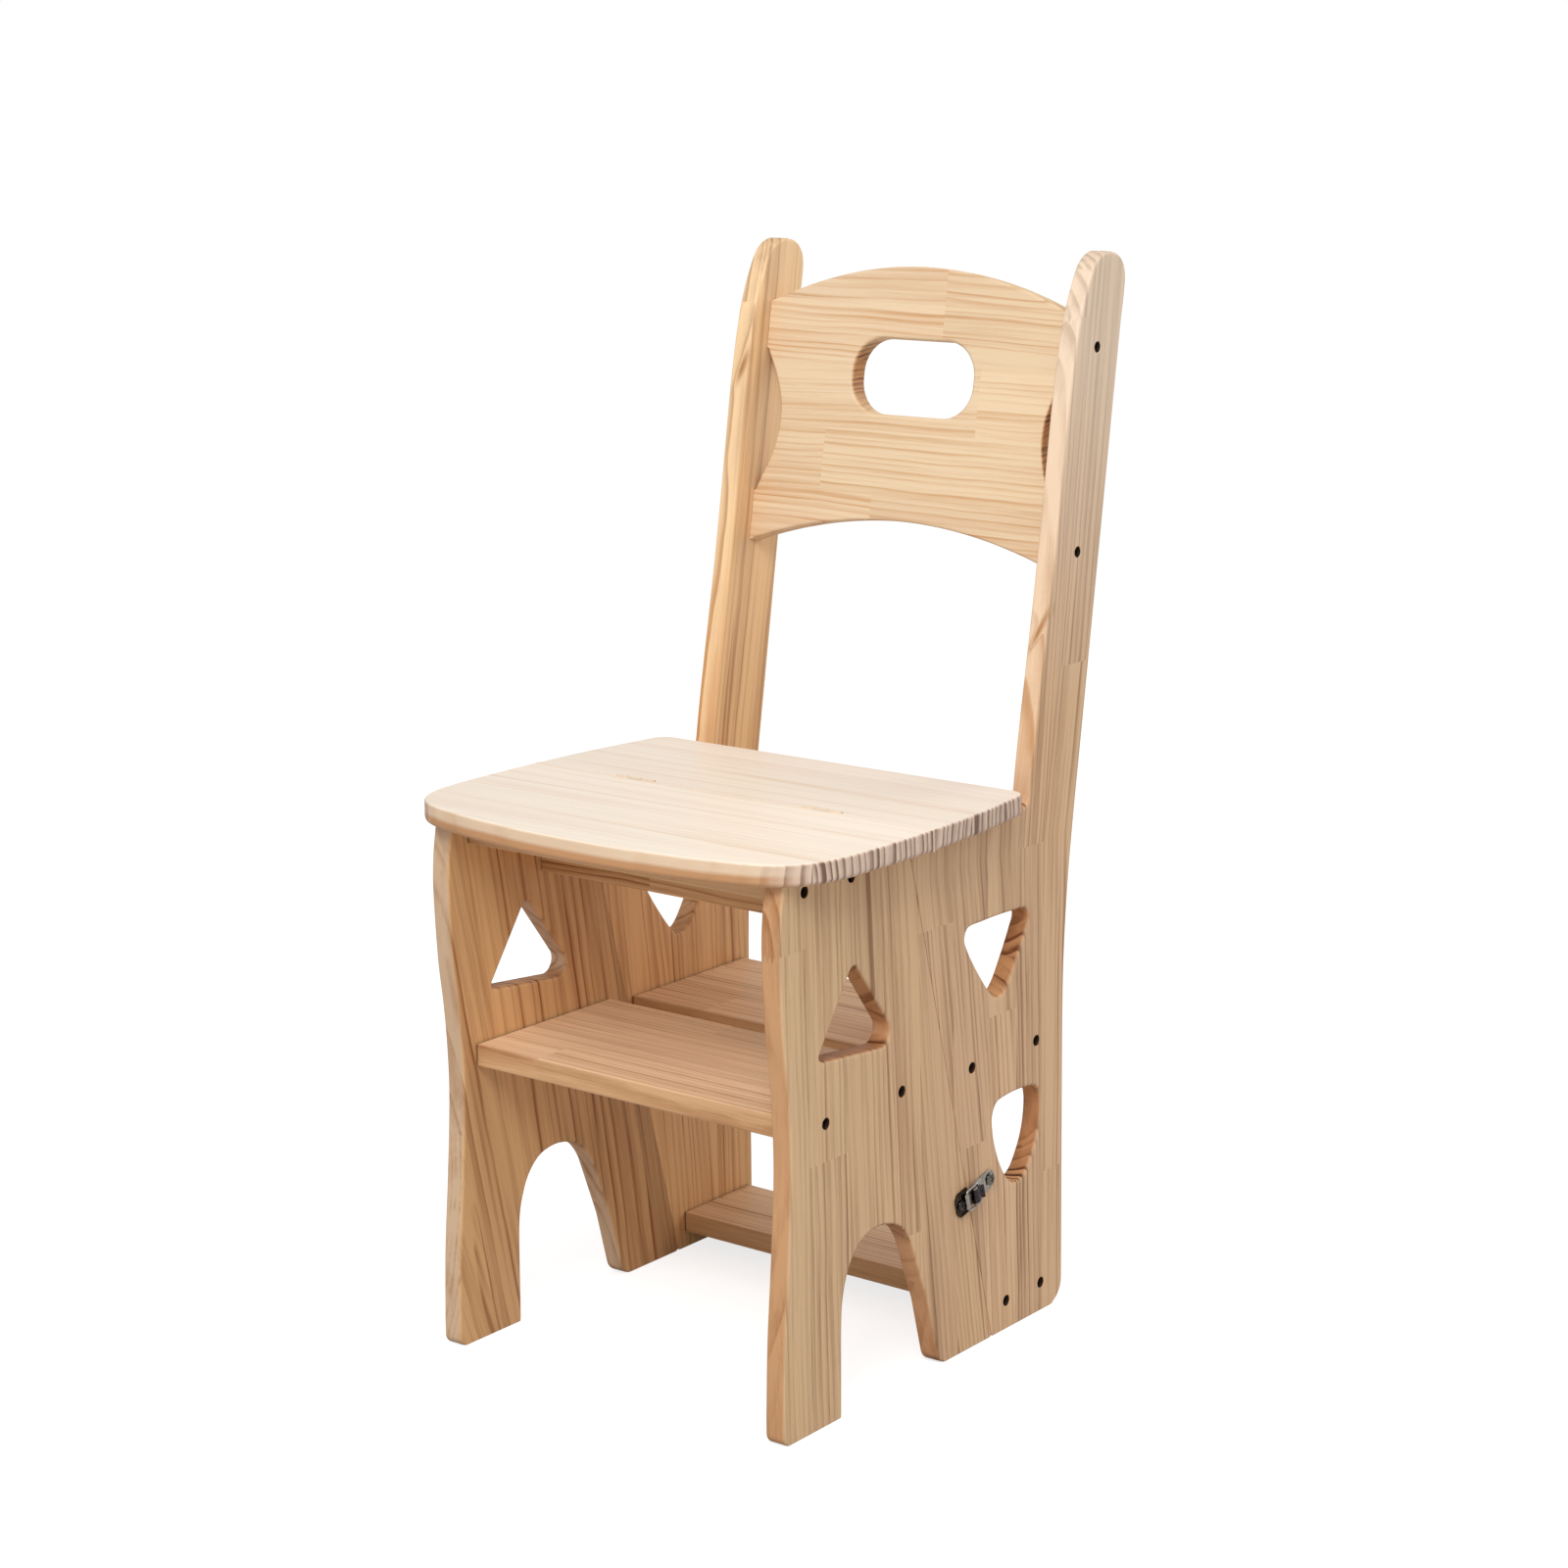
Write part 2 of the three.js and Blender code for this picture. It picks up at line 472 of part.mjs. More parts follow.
for (const [side, cx] of [["left", -HINGE_X], ["right", HINGE_X]]) {
  add(frontFrame, `seat_hinge_${side}_leaf_front`, leaf(true), ZINC, cx, HINGE_Y, HINGE_Z);
  add(frontFrame, `seat_hinge_${side}_pin`, hingePin, ZINC, cx, HINGE_Y, HINGE_Z);
  add(rearFrame, `seat_hinge_${side}_leaf_rear`, leaf(false), ZINC, cx, HINGE_Y, HINGE_Z);
  [-LEAF_SCREW_X, LEAF_SCREW_X].forEach((dx, i) => {
    add(frontFrame, `hinge_screw_${side}_front_${i + 1}`, leafScrew, ZINC, cx + dx, HINGE_Y - LEAF[0], LEAF_SCREW_Z);
    add(rearFrame, `hinge_screw_${side}_rear_${i + 1}`, leafScrew, ZINC, cx + dx, HINGE_Y + LEAF[0], LEAF_SCREW_Z).rotation.z = Math.PI;
  });
}

// latches, one on each outer face, bridging the parting line
for (const side of ["right", "left"]) {
  const s = side === "right" ? 1 : -1;
  const along = new THREE.Vector3(0, Math.cos(LATCH_TILT), Math.sin(LATCH_TILT));
  const out = new THREE.Vector3(s, 0, 0);
  const basis = new THREE.Matrix4().makeBasis(along, out.clone().cross(along), out);
  const onFront = new THREE.Group();
  onFront.setRotationFromMatrix(basis);
  onFront.position.set(s * HALF_WIDTH, LATCH.y, LATCH.z);
  const onRear = onFront.clone();
  frontFrame.add(onFront);
  rearFrame.add(onRear);
  add(onFront, `latch_${side}_catch_plate`, catchPlate, NICKEL);
  add(onFront, `latch_${side}_catch_screw`, latchScrew(4), NICKEL, LATCH_SCREWS.catch, 0, 1.7);
  add(onRear, `latch_${side}_base_plate`, basePlate, NICKEL);
  add(onRear, `latch_${side}_base_screw`, latchScrew(4.6), NICKEL, LATCH_SCREWS.base, 0, 1.7);
  add(onRear, `latch_${side}_pivot_pin`, leverPin, NICKEL);
  add(onRear, `latch_${side}_lever`, lever, NICKEL);
  add(onRear, `latch_${side}_bail`, bail, NICKEL);
}

export default chair;
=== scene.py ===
import json
import math

import bmesh
import bpy
import numpy as np
from mathutils import Matrix, Vector
from mathutils.geometry import tessellate_polygon

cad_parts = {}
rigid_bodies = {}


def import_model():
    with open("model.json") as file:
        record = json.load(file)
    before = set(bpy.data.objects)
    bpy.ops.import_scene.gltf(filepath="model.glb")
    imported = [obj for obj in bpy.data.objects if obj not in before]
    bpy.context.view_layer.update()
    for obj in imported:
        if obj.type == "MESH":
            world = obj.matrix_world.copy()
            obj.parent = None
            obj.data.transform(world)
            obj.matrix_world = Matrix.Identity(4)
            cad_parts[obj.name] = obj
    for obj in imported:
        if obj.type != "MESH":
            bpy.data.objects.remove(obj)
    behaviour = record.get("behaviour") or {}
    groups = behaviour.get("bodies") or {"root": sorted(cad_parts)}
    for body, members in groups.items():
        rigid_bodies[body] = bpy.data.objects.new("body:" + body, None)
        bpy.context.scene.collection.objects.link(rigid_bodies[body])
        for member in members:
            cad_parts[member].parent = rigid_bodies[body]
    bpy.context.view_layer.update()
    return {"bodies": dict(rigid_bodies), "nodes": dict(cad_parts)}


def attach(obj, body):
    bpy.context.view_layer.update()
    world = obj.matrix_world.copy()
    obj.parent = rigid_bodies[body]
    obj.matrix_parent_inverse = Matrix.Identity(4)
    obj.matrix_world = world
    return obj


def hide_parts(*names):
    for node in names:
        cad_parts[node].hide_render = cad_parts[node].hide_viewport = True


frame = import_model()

KEEP = set(frame["nodes"].values()) | set(frame["bodies"].values())
for o in list(bpy.data.objects):
    if o not in KEEP:
        bpy.data.objects.remove(o)

# ------------------------------------------------------------------ camera
YAW, PITCH, ROLL = 0.6360, 0.1750, -0.0023
EYE = (1.62580, -1.82263 - 0.2115, 1.03115)
LENS = 75.853
SHIFT = (-0.07199, -0.09650)


def make_camera():
    d = Vector((-math.sin(YAW) * math.cos(PITCH), math.cos(YAW) * math.cos(PITCH), -math.sin(PITCH)))
    r = d.cross(Vector((0, 0, 1))).normalized()
    u = r.cross(d)
    c, s = math.cos(ROLL), math.sin(ROLL)
    r, u = c * r + s * u, -s * r + c * u
    m = Matrix((r, u, -d)).transposed().to_4x4()
    m.translation = Vector(EYE)
    cam = bpy.data.objects.new("camera", bpy.data.cameras.new("camera"))
    bpy.context.scene.collection.objects.link(cam)
    cam.matrix_world = m
    cam.data.sensor_width = 36
    cam.data.lens = LENS
    cam.data.shift_x, cam.data.shift_y = SHIFT
    cam.data.clip_end = 50
    bpy.context.scene.camera = cam


make_camera()

# ------------------------------------------------------------------ dimensions, mm
HALF_WIDTH, BOARD = 175.0, 18.0
INNER = HALF_WIDTH - BOARD
CY = 211.5
SEAT_TOP, SEAT_UNDER, PANEL_TOP = 450.0, 432.0, 431.7
HINGE_Y, HINGE_Z = 152.0, 450.3
SLOPE = (270 - HINGE_Y) / HINGE_Z
SPLIT, SEAT_SPLIT = 0.22, 0.2
SPAN = INNER - 0.15
LEAN = math.atan2(27, 164)
BACK = (389.0, 630.0)
TILT = math.atan(SLOPE)
LATCH = (236.34, 128.5)


def seam(z):
    return HINGE_Y + (HINGE_Z - z) * SLOPE


# ------------------------------------------------------------------ outlines
def rounded(rows, steps=10):
    """Corner points, each rounded with its own radius: rows of (a, b, r)."""
    out, n = [], len(rows)
    for i, row in enumerate(rows):
        a, b = row[0], row[1]
        r = row[2] if len(row) > 2 else 0
        p = np.array([a, b], float)
        if not r:
            out.append(p)
            continue
        e0 = np.array(rows[i - 1][:2], float) - p
        e1 = np.array(rows[(i + 1) % n][:2], float) - p
        e0 /= np.linalg.norm(e0)
        e1 /= np.linalg.norm(e1)
        half = math.acos(max(-1, min(1, float(e0 @ e1)))) / 2
        reach = r / math.tan(half)
        mid = e0 + e1
        c = p + mid / np.linalg.norm(mid) * (r / math.sin(half))
        s, e = p + e0 * reach - c, p + e1 * reach - c
        a0 = math.atan2(s[1], s[0])
        turn = math.atan2(e[1], e[0]) - a0
        turn = (turn + math.pi) % (2 * math.pi) - math.pi
        for k in range(steps + 1):
            t = a0 + turn * k / steps
            out.append(c + r * np.array([math.cos(t), math.sin(t)]))
    return out


def smooth(rows, count):
    p = np.array(rows, float)
    n, out = len(p), []
    for k in range(count + 1):
        x = (n - 1) * k / count
        i = min(int(x), n - 1)
        t = x - i
        p0, p1 = p[max(i - 1, 0)], p[i]
        p2 = p[min(i + 1, n - 1)]
        p3 = p[min(i + 2, n - 1)]
        v0, v1 = (p2 - p0) / 2, (p3 - p1) / 2
        out.append((2 * p1 - 2 * p2 + v0 + v1) * t ** 3 + (-3 * p1 + 3 * p2 - 2 * v0 - v1) * t ** 2 + v0 * t + p1)
    return out


def closed_smooth(rows, count):
    """A closed centripetal curve through the rows."""
    p = np.array(rows, float)
    n, out = len(p), []
    for k in range(count):
        x = n * k / count
        i = int(x)
        t = x - i
        a, b, c, d = (p[(i + j) % n] for j in (-1, 0, 1, 2))
        d0, d1, d2 = (max(float((q - r) @ (q - r)) ** 0.25, 1e-4) for q, r in ((a, b), (b, c), (c, d)))
        t1 = ((b - a) / d0 - (c - a) / (d0 + d1) + (c - b) / d1) * d1
        t2 = ((c - b) / d1 - (d - b) / (d1 + d2) + (d - c) / d2) * d1
        out.append(b + t1 * t + (-3 * b + 3 * c - 2 * t1 - t2) * t * t + (2 * b - 2 * c + t1 + t2) * t ** 3)
    return out


def tidy(points, step=4.0):
    """Drops doubled points and puts points along long straight runs."""
    p = [np.array(points[0], float)]
    for q in points[1:]:
        if np.linalg.norm(q - p[-1]) > 0.12:
            p.append(np.array(q, float))
    if np.linalg.norm(p[0] - p[-1]) < 0.12:
        p.pop()
    out = []
    for i, a in enumerate(p):
        b = p[(i + 1) % len(p)]
        k = max(1, int(np.linalg.norm(b - a) / step))
        out += [a + (b - a) * j / k for j in range(k)]
    return np.array(out)


def area(p):
    x, y = p[:, 0], p[:, 1]
    return 0.5 * float(np.sum(x * np.roll(y, -1) - np.roll(x, -1) * y))


def front_outline():
    return tidy(
        rounded([(-2.2, 9), (-2.2, 0, 8), (20, 0)], 10)[1:-1]
        + rounded([(40, 0), (70, 0, 3), (70.4, 30)], 6)[1:-1]
        + smooth([(70.4, 60), (71.5, 88), (76, 107), (84, 123), (97, 134.5), (114, 138.5), (131, 136.5), (147, 129), (158, 116), (165, 100), (182, 56)], 80)
        + rounded([(182, 56), (197, 0, 12), (230, 0)], 12)[1:-1]
        + rounded([(230, 0), (seam(0) - SPLIT, 0, 3), (seam(20) - SPLIT, 20)], 6)[1:-1]
        + [np.array([seam(PANEL_TOP) - SPLIT, PANEL_TOP])]
        + smooth([(2.4, PANEL_TOP), (-1.6, 405), (-2.6, 375), (0.6, 320), (5, 285), (8, 250), (9, 205), (5, 140), (0, 80), (-2.2, 20)], 110)
    )


def rear_outline():
    return tidy(
        rounded([(seam(20) + SPLIT, 20), (seam(0) + SPLIT, 0, 3), (300, 0)], 6)[1:-1]
        + rounded([(300, 0), (373, 0, 19), (373, 60)], 16)[1:-1]
        + smooth([(373, 60), (372.5, 180), (372.6, 262), (374.6, 310), (379, 358), (386, 409), (396.4, 473)], 70)
        + [np.array([417.0, 600]), np.array([437.6, 727])]
        + smooth([(451.5, 812), (456.5, 838), (457.3, 851), (453.5, 861), (445, 867.5), (431, 870), (420, 867), (410.5, 859), (403, 846), (396, 831), (389, 812), (381, 780)], 90)
        + smooth([(374, 744), (367, 700), (359, 650), (350.5, 600), (341, 550), (331.5, 500), (325, 463), (322.3, 446), (320.5, 438.2), (316.5, 433.6), (310, PANEL_TOP)], 100)
        + [np.array([seam(PANEL_TOP) + SPLIT, PANEL_TOP])]
    )


FRONT_WINDOW = tidy(rounded([(42, 289, 4), (87.5, 356, 5.5), (145, 279, 11)], 14), 3.0)
REAR_WINDOW_HIGH = tidy(closed_smooth(
    [(236, 348.5), (258, 350.4), (298, 350.2), (317, 348), (320.5, 341), (316, 331), (303, 309), (290, 290.5), (282, 285), (273, 285.5), (265, 293), (249, 313), (237, 331), (232.6, 341)], 140))
REAR_WINDOW_LOW = tidy(closed_smooth(
    [(277, 195), (290, 198), (318, 198), (333, 194.6), (338, 185), (337.6, 168), (332.6, 150), (324.6, 136), (318, 127.6), (310, 123.2), (301, 123), (294, 127), (286.5, 136.5), (278, 153), (272.6, 171), (271.6, 186)], 140))

SEAT_SIDE_FRONT = [(203.4, HINGE_Y - SEAT_SPLIT), (204, 120), (203.6, 85), (202.4, 55), (199.4, 32), (194.4, 16), (186, 3), (174.5, -6.9), (160, -13.6), (140, -19.3), (105, -26.5), (55, -32.6)]
SEAT_SIDE_REAR = [(203.4, HINGE_Y + SEAT_SPLIT), (201.8, 190), (198.4, 230), (194, 262)]


def seat_front_outline():
    half = smooth(SEAT_SIDE_FRONT, 90)
    mid = smooth([(55, -32.6), (28, -34.1), (0, -34.5), (-28, -34.1), (-55, -32.6)], 20)[1:-1]
    right = half + mid
    left = [np.array([-q[0], q[1]]) for q in reversed(half)]
    return tidy((right + left)[::-1])


def seat_rear_outline():
    side = smooth(SEAT_SIDE_REAR, 30)
    corner = rounded([(194, 262), (189, 297, 16), (150, 297)], 16)[1:-1]
    right = side + corner
    return tidy(right + [np.array([-q[0], q[1]]) for q in reversed(right)])


def backrest_outline():
    def arc(end, mid, n=60):
        return [np.array([x, mid + (end - mid) * (x / SPAN) ** 2]) for x in np.linspace(-SPAN, SPAN, n + 1)]

    notch = [(SPAN, 24), (SPAN - 6.2, 38), (SPAN - 15, 57), (SPAN - 19.8, 76), (SPAN - 20.7, 92), (SPAN - 18.5, 108), (SPAN - 11.5, 127), (SPAN - 2.8, 143), (SPAN, 149)]
    right = smooth(notch, 60)
    return tidy(arc(-18, 10) + right + arc(188.5, 223.5)[::-1] + [np.array([-q[0], q[1]]) for q in reversed(right)])


GRIP = tidy(rounded([(-61.5, 98.5, 29), (61.5, 98.5, 29), (61.5, 162.5, 29), (-61.5, 162.5, 29)], 20))


# ------------------------------------------------------------------ rounded boards
class Solid:
    """Collects rings and caps of one closed body, in mm, in its own (u, v, h) frame."""

    def __init__(self):
        self.v, self.f, self.finish, self.now = [], [], [], 0

    def add(self, pts):
        k = sum(len(x) for x in self.v)
        self.v.append(np.asarray(pts, float))
        return k

    def face(self, corners):
        self.f.append(corners)
        self.finish.append(self.now)

    def fan(self, at, first, n, outward):
        k = self.add([at])
        for i in range(n):
            j = (i + 1) % n
            self.face((k, first + i, first + j) if outward else (k, first + j, first + i))

    def walls(self, rings, upward=True):
        starts = [self.add(r) for r in rings]
        n = len(rings[0])
        for a, b in zip(starts, starts[1:]):
            for i in range(n):
                j = (i + 1) % n
                self.face((a + i, a + j, b + j, b + i) if upward else (a + j, a + i, b + i, b + j))
        return starts[0], starts[-1]

    def cap(self, loops, up):
        """loops: [(first index, points2d)]"""
        polys = [[Vector((p[0], p[1], 0)) for p in pts] for _, pts in loops]
        index, flat2, after = [], [], {}
        for k, pts in loops:
            first = len(index)
            index += [k + i for i in range(len(pts))]
            flat2 += [tuple(p[:2]) for p in pts]
            after.update({first + i: first + (i + 1) % len(pts) for i in range(len(pts))})
        before = {j: i for i, j in after.items()}

        def side(a, b, c):
            (ax, ay), (bx, by), (cx, cy) = flat2[a], flat2[b], flat2[c]
            return (bx - ax) * (cy - ay) - (cx - ax) * (by - ay)

        def skipped(a, b, step):
            """The outline's points between a and b, if all of them lie on the straight line."""
            found, at, long = [], step[a], math.dist(flat2[a], flat2[b])
            while at != b:
                if at == a or abs(side(a, b, at)) > 0.004 * long or math.dist(flat2[a], flat2[at]) > long:
                    return []
                found.append(at)
                at = step[at]
            return found

        todo = [t if side(*t) > 0 else (t[0], t[2], t[1]) for t in tessellate_polygon(polys) if abs(side(*t)) > 1e-9]
        used = {}
        for t in todo:
            for e in ((t[0], t[1]), (t[1], t[2]), (t[2], t[0])):
                used[e] = used.get(e, 0) + 1
        while todo:
            t = todo.pop()
            for a, b, c in (t, (t[1], t[2], t[0]), (t[2], t[0], t[1])):
                if (b, a) not in used and after[a] != b and before[a] != b:
                    row = skipped(a, b, after) or skipped(a, b, before)
                    if row:
                        row = [a, *row, b]
                        todo += [(m, n, c) for m, n in zip(row, row[1:])]
                        used.update({(b_, a_): 1 for m, n in zip(row[1:-1], row[2:]) for a_, b_ in ((m, c), (c, m))})
                        break
            else:
                self.face(tuple(index[i] for i in (t if up else (t[0], t[2], t[1]))))

    def mesh(self, name, sharp=32):
        m = bpy.data.meshes.new(name)
        m.from_pydata((np.concatenate(self.v) / 1000).tolist(), [], self.f)
        m.update()
        m.polygons.foreach_set("material_index", self.finish)
        bm = bmesh.new()
        bm.from_mesh(m)
        bmesh.ops.remove_doubles(bm, verts=bm.verts, dist=1e-6)
        bmesh.ops.dissolve_degenerate(bm, edges=bm.edges, dist=1e-7)
        bm.to_mesh(m)
        bm.free()
        m.polygons.foreach_set("use_smooth", [True] * len(m.polygons))
        m.set_sharp_from_angle(angle=math.radians(sharp))
        return m


def miter(p):
    e0 = p - np.roll(p, 1, 0)
    e1 = np.roll(p, -1, 0) - p
    e0 /= np.linalg.norm(e0, axis=1)[:, None]
    e1 /= np.linalg.norm(e1, axis=1)[:, None]
    n0 = np.stack([-e0[:, 1], e0[:, 0]], 1)
    n1 = np.stack([-e1[:, 1], e1[:, 0]], 1)
    m = n0 + n1
    m /= np.linalg.norm(m, axis=1)[:, None]
    return m / np.maximum((m * n0).sum(1), 0.4)[:, None]


def circle(y, z, r, n=28):
    """Clockwise, so that the material lies on its left."""
    t = -np.arange(n) * 2 * math.pi / n
    return np.stack([y + r * np.cos(t), z + r * np.sin(t)], 1)


def board(outer, holes, h0, h1, r, bores=(), bore_up=True, steps=5, low=None):
    """A board between two heights. r(points) gives the edge rounding at each point, low(points) another one below; holes is [(points, radius)].
    bores is [(u, v, radius, depth)], sunk from the upper face, or from the lower one, with the second finish."""
    s = Solid()
    outer = outer if area(outer) > 0 else outer[::-1]
    tops, bottoms = [], []
    for k, (pts, rad) in enumerate([(outer, r)] + [(p if area(p) < 0 else p[::-1], q) for p, q in holes]):
        m = miter(pts)
        up, dn = (np.array([f(*p) for p in pts], float) if callable(f) else np.full(len(pts), float(f)) for f in (rad, low if low and not k else rad))
        rings = []
        for k in range(steps + 1):
            a = k / steps * math.pi / 2
            rings.append(np.column_stack([pts + m * (dn * (1 - math.sin(a)))[:, None], h0 + dn * (1 - math.cos(a))]))
        for k in range(steps, -1, -1):
            a = k / steps * math.pi / 2
            rings.append(np.column_stack([pts + m * (up * (1 - math.sin(a)))[:, None], h1 - up * (1 - math.cos(a))]))
        lo, hi = s.walls(rings)
        bottoms.append((lo, rings[0]))
        tops.append((hi, rings[-1]))
    for u, v, rad, depth in bores:
        sign = -1 if bore_up else 1
        face = h1 if bore_up else h0
        rows = [(0.75, 0.0), (0.3, 0.22), (0.05, 0.6), (0.0, 1.1), (0.0, depth)]
        rings = [np.column_stack([circle(u, v, rad + d), np.full(28, face + sign * h)]) for d, h in rows]
        if bore_up:
            rings = rings[::-1]
        s.now = 0
        if bore_up:
            lo = s.walls(rings[2:])[0]
            s.now = 1
            deep = s.walls(rings[:3])[0]
            tops.append((lo + 28 * (len(rings) - 3), rings[-1]))
            s.cap([(deep, rings[0])], True)
        else:
            lo = s.walls(rings[:3])[0]
            s.now = 1
            deep = s.walls(rings[2:])[1]
            bottoms.append((lo, rings[0]))
            s.cap([(deep, rings[-1])], False)
        s.now = 0
    s.cap(tops, True)
    s.cap(bottoms, False)
    return s


def place(name, mesh, matrix, body, nodes, material, weighted=True):
    o = bpy.data.objects.new(name, mesh)
    bpy.context.scene.collection.objects.link(o)
    o.matrix_world = matrix
    for x in material if isinstance(material, (list, tuple)) else [material]:
        mesh.materials.append(x)
    if weighted:
        w = o.modifiers.new("normals", "WEIGHTED_NORMAL")
        w.keep_sharp = True
        w.weight = 60
    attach(o, body)
    if nodes:
        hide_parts(*nodes)
    return o


def basis(u, v, h, at=(0, 0, 0)):
    m = Matrix((Vector(u), Vector(v), Vector(h))).transposed().to_4x4()
    m.translation = Vector(at) / 1000
    return m


SIDE = basis((0, 1, 0), (0, 0, 1), (1, 0, 0), (0, -CY, 0))
FLAT = basis((1, 0, 0), (0, 1, 0), (0, 0, 1), (0, -CY, 0))
UPRIGHT = basis((1, 0, 0), (0, 0, 1), (0, -1, 0), (0, -CY, 0))
LEANED = basis((1, 0, 0), (0, math.sin(LEAN), math.cos(LEAN)), (0, -math.cos(LEAN), math.sin(LEAN)), (0, BACK[0] - CY, BACK[1]))


# ------------------------------------------------------------------ node graphs
class Graph:
    def __init__(self, name):
        self.material = bpy.data.materials.new(name)
        self.material.use_nodes = True
        self.t = self.material.node_tree
        self.t.nodes.clear()
        self.out = self.node("ShaderNodeOutputMaterial")
        self.bsdf = self.node("ShaderNodeBsdfPrincipled")
        self.t.links.new(self.bsdf.outputs[0], self.out.inputs[0])

    def node(self, kind, **props):
        n = self.t.nodes.new(kind)
        for k, v in props.items():
            setattr(n, k, v)
        return n

    def put(self, socket, value):
        if isinstance(value, bpy.types.NodeSocket):
            self.t.links.new(value, socket)
        elif value is not None:
            socket.default_value = value

    def m(self, op, a, b=None, c=None, clamp=False):
        n = self.node("ShaderNodeMath", operation=op, use_clamp=clamp)
        for s, v in zip(n.inputs, (a, b, c)):
            self.put(s, v)
        return n.outputs[0]

    def add(self, a, b): return self.m("ADD", a, b)
    def sub(self, a, b): return self.m("SUBTRACT", a, b)
    def mul(self, a, b): return self.m("MULTIPLY", a, b)
    def mad(self, a, b, c): return self.m("MULTIPLY_ADD", a, b, c)

    def vec(self, x, y, z):
        n = self.node("ShaderNodeCombineXYZ")
        for s, v in zip(n.inputs, (x, y, z)):
            self.put(s, v)
        return n.outputs[0]

    def xyz(self, v):
        n = self.node("ShaderNodeSeparateXYZ")
        self.put(n.inputs[0], v)
        return list(n.outputs)

    def rgb(self, v):
        n = self.node("ShaderNodeSeparateColor")
        self.put(n.inputs[0], v)
        return list(n.outputs)

    def noise(self, v, detail=2.0, rough=0.5, scale=1.0, distortion=0.0):
        n = self.node("ShaderNodeTexNoise")
        self.put(n.inputs["Vector"], v)
        self.put(n.inputs["Scale"], scale)
        self.put(n.inputs["Detail"], detail)
        self.put(n.inputs["Roughness"], rough)
        self.put(n.inputs["Distortion"], distortion)
        return n.outputs[0]

    def white(self, w):
        n = self.node("ShaderNodeTexWhiteNoise", noise_dimensions="1D")
        self.put(n.inputs["W"], w)
        return n.outputs["Color"]

    def ramp(self, fac, stops, interpolation="LINEAR"):
        n = self.node("ShaderNodeValToRGB")
        n.color_ramp.interpolation = interpolation
        e = n.color_ramp.elements
        while len(e) > 1:
            e.remove(e[-1])
        e[0].position = stops[0][0]
        e[0].color = self.rgba(stops[0][1])
        for p, c in stops[1:]:
            x = e.new(p)
            x.color = self.rgba(c)
        self.put(n.inputs[0], fac)
        return n.outputs[0]

    @staticmethod
    def rgba(c):
        return (c, c, c, 1) if isinstance(c, (int, float)) else (*c[:3], 1)

    def mix(self, fac, a, b, blend="MIX"):
        n = self.node("ShaderNodeMix", data_type="RGBA", blend_type=blend)
        self.put(n.inputs[0], fac)
        for s, v in ((n.inputs[6], a), (n.inputs[7], b)):
            self.put(s, self.rgba(v) if isinstance(v, (tuple, list, float, int)) else v)
        return n.outputs[2]

    def range(self, v, a, b, c=0.0, d=1.0):
        n = self.node("ShaderNodeMapRange", clamp=True)
        for s, x in zip(n.inputs, (v, a, b, c, d)):
            self.put(s, x)
        return n.outputs[0]

    def bump(self, height, strength, distance):
        n = self.node("ShaderNodeBump")
        n.inputs["Strength"].default_value = strength
        n.inputs["Distance"].default_value = distance
        self.put(n.inputs["Height"], height)
        return n.outputs[0]


def srgb(r, g, b):
    return tuple((x / 255 / 12.92) if x / 255 <= 0.04045 else ((x / 255 + 0.055) / 1.055) ** 2.4 for x in (r, g, b))


def strip(start, seed, tone=1.0, spacing=3.4, quarter=0.85, joint=0.0, slope=0.0, contrast=1.0, heart=0.3):
    """One glued strip. start is where it begins across the board, in mm; tone is its lightness; spacing is its growth-ring width, in mm;
    quarter is 0 for a flat-sawn strip and 1 for a quarter-sawn one; joint shifts its finger joints along it; slope is its grain's own lean;
    heart is 0 for yellow sapwood and 1 for pinkish heartwood."""
    return (start, seed, tone, spacing, quarter, joint, slope, contrast, heart)


